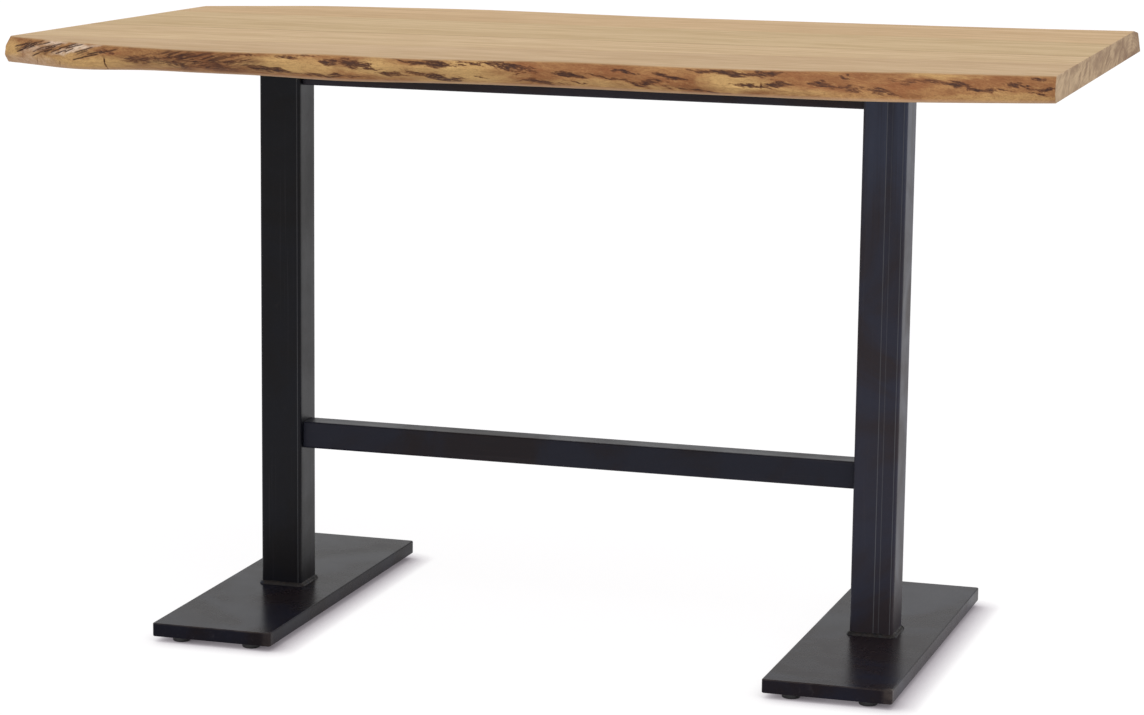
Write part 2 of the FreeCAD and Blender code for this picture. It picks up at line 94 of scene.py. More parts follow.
class WoodSettings(bpy.types.PropertyGroup):
    """Sizes and colours of the four boards."""

    arris: length("Arris radius", "Rounding sanded along the live edges and sawn ends", 1.6 * MM)
    seam: length("Seam depth", "Depth of the fine groove along a glue line", 0.25 * MM)
    ripple: length("Ripple depth", "Depth of the ripples that run along a live edge", 1.1 * MM)
    gouge: length("Gouge depth", "Depth of the slanting cuts at the narrow corner", 1.8 * MM)
    rot: length("Stain depth", "How far the dark stains of the live edge lie back", 1.0 * MM)
    split: length("Split depth", "Depth of the short upright splits in the live edge", 2.5 * MM)
    crack: length("Crack depth", "Depth of the open glue line in the square end", 2.0 * MM)
    face: colour("Planed face", "Pale tan of the planed face", srgb(213, 187, 149))
    late: colour("Late wood", "Darker lines of the planed face", srgb(188, 158, 118))
    line: colour("Glue line", "Brown stripe beside the middle glue line", srgb(160, 126, 90))
    bark_side: colour("Live edge", "Warm brown of the skin under the bark", srgb(186, 138, 90))
    bark_shade: colour("Live edge shade", "Darker brown of that skin", srgb(150, 102, 66))
    ochre: colour("Ochre", "Yellow patches of the live edge", srgb(220, 180, 120))
    rust: colour("Rust", "Reddish patches of the live edge", srgb(150, 92, 60))
    bare: colour("Scraped wood", "Pale wood where the narrow corner is scraped", srgb(232, 208, 184))
    rim: colour("Rim band", "Greyish pink of the band above the lower arris", srgb(206, 170, 142))
    halo: colour("Stain rim", "Brown round the dark stains", srgb(112, 72, 50))
    stain: colour("Stain", "Dark stains of the live edge", srgb(70, 50, 44))
    sawn: colour("Sawn end", "Greyish tan of the end grain", srgb(196, 170, 138))
    sawn_shade: colour("Sawn end shade", "Darker rings of the end grain", srgb(138, 112, 90))
    sawn_purple: colour("Sawn end purple", "Purplish brown places of the end grain", srgb(122, 98, 92))


class SteelSettings(bpy.types.PropertyGroup):
    """Sizes and colours of the welded base and what is screwed to it."""

    drawn_in: length("Drawn in", "How far the flats of a tube curve in", 0.2 * MM)
    weld_ripple: length("Weld ripple", "Height of the ripples along a weld", 0.45 * MM)
    weld_pitch: length("Weld pitch", "Distance from one ripple to the next", 2.6 * MM)
    blue: colour("Blue scale", "Blue-black of the rolled skin", srgb(45, 47, 59))
    brown: colour("Brown scale", "Brown-black of the rolled skin", srgb(46, 41, 44))
    worn: colour("Worn scale", "Grey where the skin is thin", srgb(66, 63, 68))
    # This grey-brown also paints the highlight along a foot plate's front top arris.
    rubbed: colour("Rubbed scale", "Grey-brown where the skin is rubbed off", srgb(80, 72, 68))
    blued: colour("Blued scale", "Lighter blue of the skin near the top of the right column", srgb(72, 80, 102))
    # This pale grey also paints the highlight lines where a column's flats meet its corners.
    line: colour("Drawn line", "Pale grey of the fine lines along a tube", srgb(112, 114, 118))
    bead: colour("Weld", "Dark grey of a lacquered weld", srgb(32, 32, 34))
    straw: colour("Weld straw", "Straw heat colour of a weld", srgb(42, 38, 37))
    heat_blue: colour("Weld blue", "Blue heat colour of a weld", srgb(38, 42, 52))
    slag: colour("Slag", "Dark specks on a weld", srgb(26, 23, 22))
    zinc: colour("Zinc", "Pale plating of screws and studs", srgb(176, 180, 184))
    zinc_shade: colour("Zinc shade", "Duller places of that plating", srgb(150, 152, 150))
    plastic: colour("Glide", "Black of the moulded pads", srgb(26, 26, 28))
    dust: colour("Glide wear", "Grey of the pads where they are worn", srgb(70, 68, 66))


class StudioSettings(bpy.types.PropertyGroup):
    """The camera and the light."""

    lens: FloatProperty(name="Lens", description="Focal length in millimetres", default=116.75)
    eye: FloatVectorProperty(name="Eye", description="Where the camera stands", default=(1.9253, -6.3804, 1.7316),
                             subtype="TRANSLATION", unit="LENGTH")
    turn: FloatProperty(name="Turn", description="Turn to the left", default=0.3150, unit="ROTATION")
    dip: FloatProperty(name="Dip", description="Tilt downwards", default=0.19564, unit="ROTATION")
    roll: FloatProperty(name="Roll", description="Roll of the camera", default=0.00766, unit="ROTATION")
    floor: colour("Floor", "Pale floor, as it lights the table", srgb(231, 230, 232))
    floor_seen: colour("Floor seen", "Floor as the camera sees it, under its glow", srgb(100, 96, 100))
    floor_glow: FloatProperty(name="Floor glow", description="Light that the seen floor adds", default=0.92)
    # The painted shadow in the floor's glow takes this tint.
    shadow: colour("Shadow", "Tint of the glow in the shadow close to the plates", srgb(244, 232, 244))
    sky: FloatProperty(name="Sky", description="Strength of the light from all round", default=0.62)
    key: FloatProperty(name="Key", description="Strength of the main light", default=1.15)


def wood():
    """The wood settings of this scene."""
    return bpy.context.scene.bar_table_wood


def steel():
    """The steel settings of this scene."""
    return bpy.context.scene.bar_table_steel


# Shapes

def node_box(node):
    """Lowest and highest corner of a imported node, as arrays."""
    low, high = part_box(node)
    return np.array(low), np.array(high)


def smooth_step(value, start, end):
    """0 before start and 1 after end, with an S curve 3t^2 - 2t^3 between."""
    t = np.clip((value - start) / (end - start), 0, 1)
    return t * t * (3 - 2 * t)


def waves(along, across, seed, longest, shortest, stretch):
    """A sum of sine waves in all directions, stretched along the first coordinate, from about -1 to 1.

    Wave k is sin(2 pi (u cos a + v sin a) / wavelength + phase), with its length between longest and
    shortest and its height in proportion to its length to the power 0.6.
    """
    random = np.random.default_rng(seed)
    lengths = np.geomspace(longest, shortest, WAVE_COUNT)
    heights = (lengths / longest) ** 0.6
    total = np.zeros(np.broadcast(along, across).shape)
    for wavelength, height in zip(lengths, heights):
        angle, phase = random.uniform(0, 2 * math.pi, 2)
        turned = along / stretch * math.cos(angle) + across * math.sin(angle)
        total += height * np.sin(2 * math.pi * turned / wavelength + phase)
    return total / np.sqrt((heights ** 2).sum())


def grid_quads(rows, columns, wrap_rows=False, wrap_columns=False):
    """Quads between the points of a grid whose points are numbered row by row."""
    row, column = np.meshgrid(np.arange(rows - (not wrap_rows)), np.arange(columns - (not wrap_columns)),
                              indexing="ij")
    next_row, next_column = (row + 1) % rows, (column + 1) % columns
    corners = (row * columns + column, row * columns + next_column,
               next_row * columns + next_column, next_row * columns + column)
    return np.stack(corners, -1).reshape(-1, 4)


def lattice_skin(counts):
    """The outside of a block of lattice points: the three indices of each point, and quads that face out."""
    quads = []
    for axis in range(3):
        first, second = (axis + 1) % 3, (axis + 2) % 3
        u, v = np.meshgrid(np.arange(counts[first] - 1), np.arange(counts[second] - 1), indexing="ij")
        for side in (0, counts[axis] - 1):
            corners = []
            for du, dv in ((0, 0), (1, 0), (1, 1), (0, 1)):
                index = [None] * 3
                index[axis] = np.full(u.shape, side)
                index[first] = u + du
                index[second] = v + dv
                corners.append(index[0] + counts[0] * (index[1] + counts[1] * index[2]))
            quad = np.stack(corners, -1).reshape(-1, 4)
            quads.append(quad if side else quad[:, ::-1])
    used, compact = np.unique(np.concatenate(quads), return_inverse=True)
    index = np.stack((used % counts[0], used // counts[0] % counts[1], used // (counts[0] * counts[1])), -1)
    return index, compact.reshape(-1, 4)


def arris_steps(radius):
    """Distances from a corner where lines cross its rounding at even angles: radius (1 - tan angle)."""
    return radius * (1 - np.tan(np.linspace(math.pi / 4, 0, ARRIS_FACES + 1)))


def rounded(points, low, high, corner, arris):
    """Points on the skin of a box, moved onto rounded upright corners and rounded arrises.

    In plan a point keeps its direction from the core of the box, and its larger distance from that core
    becomes its distance along that direction. On an arris the two distances inside the rounding are
    scaled to lie on a quarter circle.
    """
    core = np.clip(points[:, :2], low[:2] + corner, high[:2] - corner)
    out = points[:, :2] - core
    reach = np.abs(out).max(1)
    direction = out / np.maximum(np.hypot(out[:, 0], out[:, 1]), 1e-12)[:, None]
    middle = (low[2] + high[2]) / 2
    outward = np.sign(points[:, 2] - middle)
    rim = np.clip(arris - corner + reach, 0, arris)
    cap = np.clip(arris - (high[2] - low[2]) / 2 + np.abs(points[:, 2] - middle), 0, arris)
    scale = arris / np.maximum(np.hypot(rim, cap), arris)
    plan = core + direction * (reach + rim * (scale - 1))[:, None]
    return np.column_stack((plan, points[:, 2] + outward * cap * (scale - 1)))


def close_poles(ring, turns, bottom, top):
    """Points and faces of a turned surface, closed by a point at each end.

    ring holds the points line by line, one line for each turn, each from the lower end to the upper one.
    """
    rows = len(ring) // turns
    quads = grid_quads(turns, rows, wrap_rows=True)[:, ::-1]
    start = np.arange(turns) * rows
    following = np.roll(start, -1)
    lower = np.column_stack((following, start, np.full(turns, len(ring))))
    upper = np.column_stack((start + rows - 1, following + rows - 1, np.full(turns, len(ring) + 1)))
    return np.concatenate((ring, (bottom, top))), quads.tolist() + lower.tolist() + upper.tolist()


def revolved(profile, turns):
    """Points of a profile of (radius, height) turned about Z, and the faces that close it at both poles.

    Point (i, j) is (r_j cos a_i, r_j sin a_i, z_j). The profile runs from the lower pole to the upper one.
    """
    radius, height = np.array(profile).T
    angle = np.linspace(0, 2 * math.pi, turns, endpoint=False)[:, None]
    ring = np.stack((radius[1:-1] * np.cos(angle), radius[1:-1] * np.sin(angle),
                     np.broadcast_to(height[1:-1], (turns, len(radius) - 2))), -1).reshape(-1, 3)
    return close_poles(ring, turns, (0, 0, height[0]), (0, 0, height[-1]))


def rounded_square(side, corner, arc_steps=6, flat_steps=9, drawn_in=0.0):
    """Outline of a square tube about the origin, anticlockwise.

    Each corner is a quarter circle. Each flat curves in by drawn_in (1 - t^2)^2, t from -1 to 1 along it.
    """
    half = side / 2
    angle = np.linspace(0, math.pi / 2, arc_steps + 1)
    arc = np.column_stack((half - corner + corner * np.cos(angle), half - corner + corner * np.sin(angle)))
    t = np.linspace(-1, 1, flat_steps + 2)[1:-1]
    bow = drawn_in * (1 - t ** 2) ** 2
    flat = np.column_stack((-t * (half - corner), half - bow))
    quarter = np.concatenate((arc, flat))
    turns = [np.array(((math.cos(a), math.sin(a)), (-math.sin(a), math.cos(a))))
             for a in np.arange(4) * math.pi / 2]
    return np.concatenate([quarter @ turn for turn in turns])


def make_piece(name, points, faces, material, body, replaced, attributes=None):
    """A mesh object with its place in its mesh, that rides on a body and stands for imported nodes."""
    mesh = bpy.data.meshes.new(name)
    faces = faces.tolist() if isinstance(faces, np.ndarray) else faces
    mesh.from_pydata(np.asarray(points, float).tolist(), [], faces)
    mesh.polygons.foreach_set("use_smooth", np.ones(len(mesh.polygons), bool))
    mesh.set_sharp_from_angle(angle=SHARP_ANGLE)
    for label, values in (attributes or {}).items():
        layer = mesh.attributes.new(label, "FLOAT", "POINT")
        layer.data.foreach_set("value", np.asarray(values, np.float32))
    mesh.materials.append(material)
    piece = bpy.data.objects.new(name, mesh)
    bpy.context.scene.collection.objects.link(piece)
    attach(piece, body)
    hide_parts(*replaced)


# Nodes of the materials

class Pattern:
    """The node tree of one material, with a short call for each kind of node."""

    def __init__(self, name):
        self.material = bpy.data.materials.new(name)
        self.material.use_nodes = True
        self.tree = self.material.node_tree
        self.tree.nodes.clear()
        self.shader = self.node("ShaderNodeBsdfPrincipled")
        output = self.node("ShaderNodeOutputMaterial")
        self.tree.links.new(self.shader.outputs["BSDF"], output.inputs["Surface"])
        self.place = self.node("ShaderNodeTexCoord").outputs["Object"]

    def node(self, kind, inputs=(), **settings):
        """A new node with these settings and inputs."""
        made = self.tree.nodes.new(kind)
        for key, value in settings.items():
            setattr(made, key, value)
        for socket, value in dict(inputs).items():
            self.feed(made.inputs[socket], value)
        return made

    def feed(self, socket, value):
        """Links a socket, or sets it to a number or colour."""
        if isinstance(value, bpy.types.NodeSocket):
            self.tree.links.new(value, socket)
        elif socket.type == "RGBA":
            socket.default_value = (*value, 1.0)
        else:
            socket.default_value = value

    def stretched(self, scale, centre=(0, 0, 0), turn=(0, 0, 0)):
        """Object coordinates about a centre, turned back by turn and then scaled."""
        inputs = {"Vector": self.place, "Scale": [1 / part for part in scale], "Location": centre, "Rotation": turn}
        return self.node("ShaderNodeMapping", inputs, vector_type="TEXTURE").outputs["Vector"]

    def noise(self, vector, scale=1.0, detail=2.0, roughness=0.5, distortion=0.0):
        """Noise from 0 to 1."""
        inputs = {"Vector": vector, "Scale": scale, "Detail": detail, "Roughness": roughness,
                  "Distortion": distortion}
        return self.node("ShaderNodeTexNoise", inputs).outputs["Fac"]

    def rings(self, vector, scale, distortion, detail):
        """Year rings about the X axis, each rising slowly and ending at once."""
        inputs = {"Vector": vector, "Scale": scale, "Distortion": distortion, "Detail": detail,
                  "Detail Scale": 1.4, "Detail Roughness": 0.55}
        made = self.node("ShaderNodeTexWave", inputs, wave_type="RINGS", rings_direction="X", wave_profile="SAW")
        return made.outputs["Fac"]

    def math(self, operation, first, second=0.0):
        """One step of arithmetic."""
        return self.node("ShaderNodeMath", {0: first, 1: second}, operation=operation).outputs["Value"]

    def times(self, first, second):
        """One value times another."""
        return self.math("MULTIPLY", first, second)

    def minus(self, first, second):
        """One value less another."""
        return self.math("SUBTRACT", first, second)

    def plus(self, total, *others):
        """The sum of these values."""
        for other in others:
            total = self.math("ADD", total, other)
        return total

    def blend(self, *rows):
        """The sum of values, each times its weight."""
        return self.plus(*[self.times(value, weight) for value, weight in rows])

    def spread(self, value, low, high, new_low=0.0, new_high=1.0):
        """A value from low to high spread over a new range, with an S curve and nothing beyond it."""
        inputs = {"Value": value, "From Min": low, "From Max": high, "To Min": new_low, "To Max": new_high}
        return self.node("ShaderNodeMapRange", inputs, interpolation_type="SMOOTHSTEP").outputs["Result"]

    def mix(self, factor, first, second, blend="MIX"):
        """One colour laid over another."""
        made = self.node("ShaderNodeMix", data_type="RGBA", blend_type=blend)
        for number, value in ((0, factor), (6, first), (7, second)):
            self.feed(made.inputs[number], value)
        return made.outputs[2]

    def layers(self, base, *rows):
        """Colours laid one after another over a base. A row says where, how strongly and which colour."""
        for where, strength, over in rows:
            base = self.mix(self.times(where, strength), base, over)
        return base

    def part(self, axis):
        """The X, Y or Z of each point."""
        return self.node("ShaderNodeSeparateXYZ", {"Vector": self.place}).outputs[axis]

    def attribute(self, name):
        """A value that the mesh holds for each point."""
        return self.node("ShaderNodeAttribute", attribute_name=name).outputs["Fac"]

    def bump(self, height, distance, strength=1.0, before=None):
        """A normal raised by height, over an earlier one."""
        inputs = {"Height": height, "Distance": distance, "Strength": strength}
        if before is not None:
            inputs["Normal"] = before
        return self.node("ShaderNodeBump", inputs).outputs["Normal"]

    def finish(self, **inputs):
        """Feeds the shader, whose sockets are named with _ for each space."""
        for socket, value in inputs.items():
            self.feed(self.shader.inputs[socket.replace("_", " ")], value)
        return self.material


def planed_face(p, s, centre, year, fibre, pore, tint):
    """The oiled face: year rings, fibre, broad bands, figure and pores, with the marks beside the glue lines."""
    band = p.noise(p.stretched((1.6, 22, 22), centre), detail=3, roughness=0.5, distortion=0.5)
    figure = p.noise(p.stretched((10, 60, 60), centre), detail=5, roughness=0.62, distortion=0.3)
    tone = p.blend((year, 0.26), (fibre, 0.44), (p.spread(band, 0.32, 0.68), 0.24),
                   (p.spread(figure, 0.32, 0.70), 0.28))
    face = p.mix(1.0, p.mix(p.spread(tone, 0.2, 1.0), s.face, s.late), tint, "MULTIPLY")
    stripe = p.times(p.attribute("stripe"), p.spread(fibre, 0.3, 0.6, 0.45, 0.9))
    return p.layers(face, (pore, 0.22, s.late), (stripe, 1.0, s.line), (p.attribute("seam"), 0.55, s.bark_shade))


def live_skin(p, s, streak, thread, scrape):
    """The skin under the bark, with its patches, stains, hatching and cuts. Also the strength of the last two."""
    mottle = p.noise(p.stretched((70, 300, 260), turn=(0, 0.15, 0)), detail=6, roughness=0.7, distortion=0.6)
    hatch = p.noise(p.stretched((15, 330, 330), turn=(0, -0.28, 0)), detail=5, roughness=0.58, distortion=0.15)
    cloud = p.noise(p.stretched((14, 40, 40)), detail=4, roughness=0.6, distortion=0.8)
    grain = p.noise(p.stretched((300, 520, 480)), detail=3, roughness=0.7)
    ochre = p.times(p.attribute("ochre"), p.spread(cloud, 0.72, 0.42, 0.55, 1.0))
    rust = p.times(p.attribute("rust"), p.spread(streak, 0.3, 0.62, 0.25, 0.9))
    bare = p.times(p.attribute("bare"), p.spread(streak, 0.62, 0.42, 0.45, 1.0))
    skin = p.layers(
        p.mix(p.spread(cloud, 0.3, 0.7), s.bark_side, s.bark_shade),
        (ochre, 1.0, s.ochre),
        (rust, 1.0, s.rust),
        (p.spread(streak, 0.46, 0.68), 0.45, s.bark_shade),
        (p.spread(thread, 0.42, 0.72), 0.42, s.halo),
        (p.spread(mottle, 0.50, 0.70), 0.34, s.halo),
        (p.spread(mottle, 0.46, 0.30), 0.30, s.ochre),
        (p.spread(grain, 0.48, 0.66), 0.30, s.halo),
        (ochre, 0.35, s.ochre),
        (bare, 1.0, s.bare))

    stain = p.attribute("stain")
    marked = p.plus(stain, p.times(p.minus(streak, 0.46), 2.9), p.times(p.minus(thread, 0.48), 3.2),
                    p.times(p.minus(mottle, 0.48), 1.8))
    marked = p.times(marked, p.spread(stain, 0.0, 0.3))
    hatched = p.attribute("hatch")
    streaked = p.times(hatched, p.spread(hatch, 0.47, 0.62))
    cut = p.times(p.spread(p.attribute("gouge"), 0.2, 0.9), p.spread(scrape, 0.30, 0.52, 0.50, 1.00))
    scraped = p.times(p.attribute("scrape"), p.spread(scrape, 0.46, 0.60))
    rim = p.spread(p.part("Z"), SLAB_LOW[2] + RIM_START, SLAB_LOW[2] + RIM_REACH, 0.55, 0.0)
    skin = p.layers(
        skin,
        (p.spread(marked, 0.05, 0.75), 0.85, s.halo),
        (p.spread(marked, 0.45, 1.45), 0.95, s.stain),
        (hatched, 0.22, s.halo),
        (p.times(hatched, p.spread(hatch, 0.42, 0.56)), 0.8, s.halo),
        (streaked, 0.92, s.stain),
        (p.math("MAXIMUM", cut, scraped), 1.0, s.stain),
        (rim, 1.0, s.rim))
    return skin, p.plus(streaked, scraped)


def sawn_end(p, s, centre, year, saw):
    """End grain: rings, rays, saw marks and broad flames, darker towards the back and purple in places."""
    ray = p.noise(p.stretched((1, 160, 900), centre), detail=2)
    sheet = p.noise(p.stretched((1, 15, 26), turn=(0.3, 0, 0)), detail=6, roughness=0.65, distortion=0.8)
    flame = p.noise(p.stretched((1, 14, 90), turn=(0.42, 0, 0)), detail=5, roughness=0.62, distortion=0.5)
    purple = p.noise(p.stretched((1, 22, 16), (0, 0.31, 0.2)), detail=3, distortion=0.6)
    tone = p.blend((year, 0.16), (saw, 0.20), (ray, 0.15), (p.spread(sheet, 0.3, 0.68), 0.42),
                   (p.spread(flame, 0.25, 0.75), 0.26), (p.spread(p.part("Y"), -0.1, 0.5, 0.0, 0.22), 1.0))
    return p.layers(p.mix(p.spread(tone, 0.3, 1.05), s.sawn, s.sawn_shade),
                    (p.spread(purple, 0.60, 0.76), 0.25, s.sawn_purple), (p.attribute("crack"), 1.0, s.stain))


def board_material(name, pith, tint):
    """Oiled wood: planed face, live edge and sawn end, told apart by the values that the mesh holds.

    pith is the Y and Z of the tree's centre beside this board, about which its year rings run.
    tint is the colour laid over its planed face.
    """
    s = wood()
    p = Pattern(name)
    centre = (0.0, *pith)
    year = p.rings(p.stretched((0.06, 1, 1), centre), 46.0, 2.4, 2.5)
    fibre = p.noise(p.stretched((5, 420, 420)), detail=5, roughness=0.6)
    pore = p.spread(p.noise(p.stretched((70, 1500, 1500)), detail=1), 0.62, 0.74)
    streak = p.noise(p.stretched((20, 280, 230), turn=(0, 0.12, 0)), detail=7, roughness=0.68, distortion=0.4)
    thread = p.noise(p.stretched((90, 900, 760), turn=(0, 0.10, 0)), detail=4, roughness=0.6)
    scrape = p.noise(p.stretched((18, 430, 430), turn=(0, -0.30, 0)), detail=2, roughness=0.5)
    grit = p.noise(p.place, scale=900, detail=3)
    saw = p.noise(p.stretched((1, 420, 110), turn=(-0.2, 0, 0)), detail=3, roughness=0.6)

    live, end = p.attribute("live"), p.attribute("end")
    skin, scored = live_skin(p, s, streak, thread, scrape)
    base = p.mix(live, planed_face(p, s, centre, year, fibre, pore, tint), skin)
    base = p.mix(end, base, sawn_end(p, s, centre, year, saw))
    rough = p.plus(p.spread(fibre, 0.3, 0.7, 0.54, 0.66), p.times(live, 0.14), p.times(end, 0.20))
    relief = p.minus(p.blend((thread, 0.7), (grit, 0.25)), p.times(scored, 0.8))
    relief = p.times(p.plus(streak, relief), live)
    normal = p.bump(fibre, 0.05 * MM, 0.5)
    normal = p.bump(pore, -0.08 * MM, 0.5, normal)
    normal = p.bump(relief, 1.2 * MM, 0.7, normal)
    normal = p.bump(p.times(saw, end), 0.5 * MM, 0.6, normal)
    return p.finish(Base_Color=base, Roughness=rough, Normal=normal, Specular_IOR_Level=0.11)


def steel_material(name, lengthwise, tint, shine, rough_low, rough_high, lines=(), blued=0.0):
    """Hot rolled steel under thin lacquer: blue and brown scale, with streaks along its length axis.

    tint darkens the scale; for the columns it paints light: the left column's darker tint is painted shade and the
    right column's full tint painted sheen. shine is how strongly its lacquer mirrors. Each of lines is a fine pale
    line along the piece: its axis, its place on that axis and its strength. The lines up the front of the right
    column are the tube's own, as the draw plate leaves it; the lines where a column's flats meet its rounded corners
    are painted highlights. blued is how blue the skin turns towards the top of the table.
    """
    s = steel()
    p = Pattern(name)
    along, fine = [55.0] * 3, [230.0] * 3
    k = "XYZ".index(lengthwise)
    along[k], fine[k] = 0.9, 2.2
    cloud = p.noise(p.place, scale=5.0, detail=6, roughness=0.6, distortion=0.7)
    patch = p.noise(p.place, scale=34.0, detail=5, roughness=0.65, distortion=0.4)
    streak = p.noise(p.stretched(along), detail=4, roughness=0.6)
    hair = p.noise(p.stretched(fine), detail=3, roughness=0.6)
    speck = p.noise(p.place, scale=420, detail=3)
    grain = p.noise(p.place, scale=1600, detail=2)
    swell = p.noise(p.place, scale=9.0, detail=1)
    # On a foot plate this mask also holds a painted highlight along the front top arris.
    rubbed = p.times(p.attribute("rubbed"), p.spread(patch, 0.35, 0.6, 0.3, 1.0))
    scale = p.mix(1.0, p.mix(p.spread(cloud, 0.40, 0.62), s.blue, s.brown), tint, "MULTIPLY")
    scale = p.layers(
        scale,
        (p.spread(patch, 0.60, 0.80), 0.07, s.rubbed),
        (p.spread(streak, 0.58, 0.76), 0.20, s.worn),
        (p.spread(hair, 0.60, 0.76), 0.28, s.worn),
        (p.spread(speck, 0.62, 0.74), 0.16, s.worn),
        (rubbed, 1.0, s.rubbed))
    if blued:
        upper = p.times(p.spread(p.part("Z"), 0.66, 1.02), p.spread(streak, 0.40, 0.58, 0.3, 1.0))
        scale = p.layers(scale, (upper, blued, s.blued))
    for axis, place, strength in lines:
        away = p.math("ABSOLUTE", p.minus(p.part(axis), float(place)))
        near = p.times(p.spread(away, LINE_WIDTH, 0.3 * LINE_WIDTH), p.spread(streak, 0.35, 0.6, 0.5, 1.0))
        scale = p.layers(scale, (near, strength, s.line))
    rough = p.plus(p.spread(cloud, 0.3, 0.7, rough_low, rough_high), p.times(patch, 0.08))
    normal = p.bump(swell, 1.0 * MM, 0.25)
    normal = p.bump(streak, 0.05 * MM, 0.5, normal)
    normal = p.bump(grain, 0.02 * MM, 0.5, normal)
    return p.finish(Base_Color=scale, Roughness=rough, Normal=normal, Specular_IOR_Level=shine)


def zinc_material(name, rough_low, rough_high):
    """Bare zinc plating whose colour and roughness wander a little."""
    s = steel()
    p = Pattern(name)
    cloud = p.noise(p.place, scale=140, detail=4, roughness=0.6)
    grain = p.noise(p.place, scale=900, detail=3)
    tone = p.mix(p.spread(cloud, 0.35, 0.65), s.zinc, s.zinc_shade)
    rough = p.spread(p.blend((cloud, 0.6), (grain, 0.4)), 0.3, 0.7, rough_low, rough_high)
    return p.finish(Base_Color=tone, Roughness=rough, Normal=p.bump(grain, 0.05 * MM, 0.4), Metallic=1.0)


def weld_material():
    """A lacquered weld: dark grey metal with faint straw and blue heat colours and specks of slag."""
    s = steel()
    p = Pattern("weld bead")
    heat = p.noise(p.place, scale=70, detail=3, distortion=0.5)
    slag = p.spread(p.noise(p.place, scale=420, detail=4), 0.55, 0.68)
    grain = p.noise(p.place, scale=1300, detail=3)
    tone = p.layers(s.bead, (p.spread(heat, 0.35, 0.6), 1.0, s.straw), (p.spread(heat, 0.58, 0.72), 1.0, s.heat_blue),
                    (slag, 0.7, s.slag))
    rough = p.spread(slag, 0, 1, 0.36, 0.7)
    return p.finish(Base_Color=tone, Roughness=rough, Normal=p.bump(grain, 0.06 * MM, 0.6), Specular_IOR_Level=0.09)


def plastic_material():
    """Moulded black plastic with a fine spark-eroded grain and dusty wear."""
    s = steel()
    p = Pattern("glide plastic")
    grain = p.noise(p.place, scale=1800, detail=3)
    wear = p.noise(p.place, scale=90, detail=4)
    tone = p.layers(s.plastic, (p.spread(wear, 0.5, 0.72), 0.3, s.dust))
    rough = p.spread(wear, 0.3, 0.7, 0.42, 0.6)
    return p.finish(Base_Color=tone, Roughness=rough, Normal=p.bump(grain, 0.06 * MM, 0.5))


# The boards

# A packed live edge is felt at this many places along it, between these distances from its two ends, and at
# these shares of its height. Its corners are softened over the height shares beside them.
STATIONS = 90
STATION_MARGINS = (20 * MM, 1 * MM)
EDGE_HEIGHT_SHARES = {"front": (0.004, 0.3, 0.65, 0.996), "back": (0.004, 0.55, 0.85, 0.996)}
SOFTENING = (-0.04, -0.02, 0.0, 0.02, 0.04)
# A live edge stays this far inside the slab's box.
BOX_MARGIN = 0.1 * MM
BOARDS = ("top_front_board", "top_inner_board_1", "top_inner_board_2", "top_back_board")

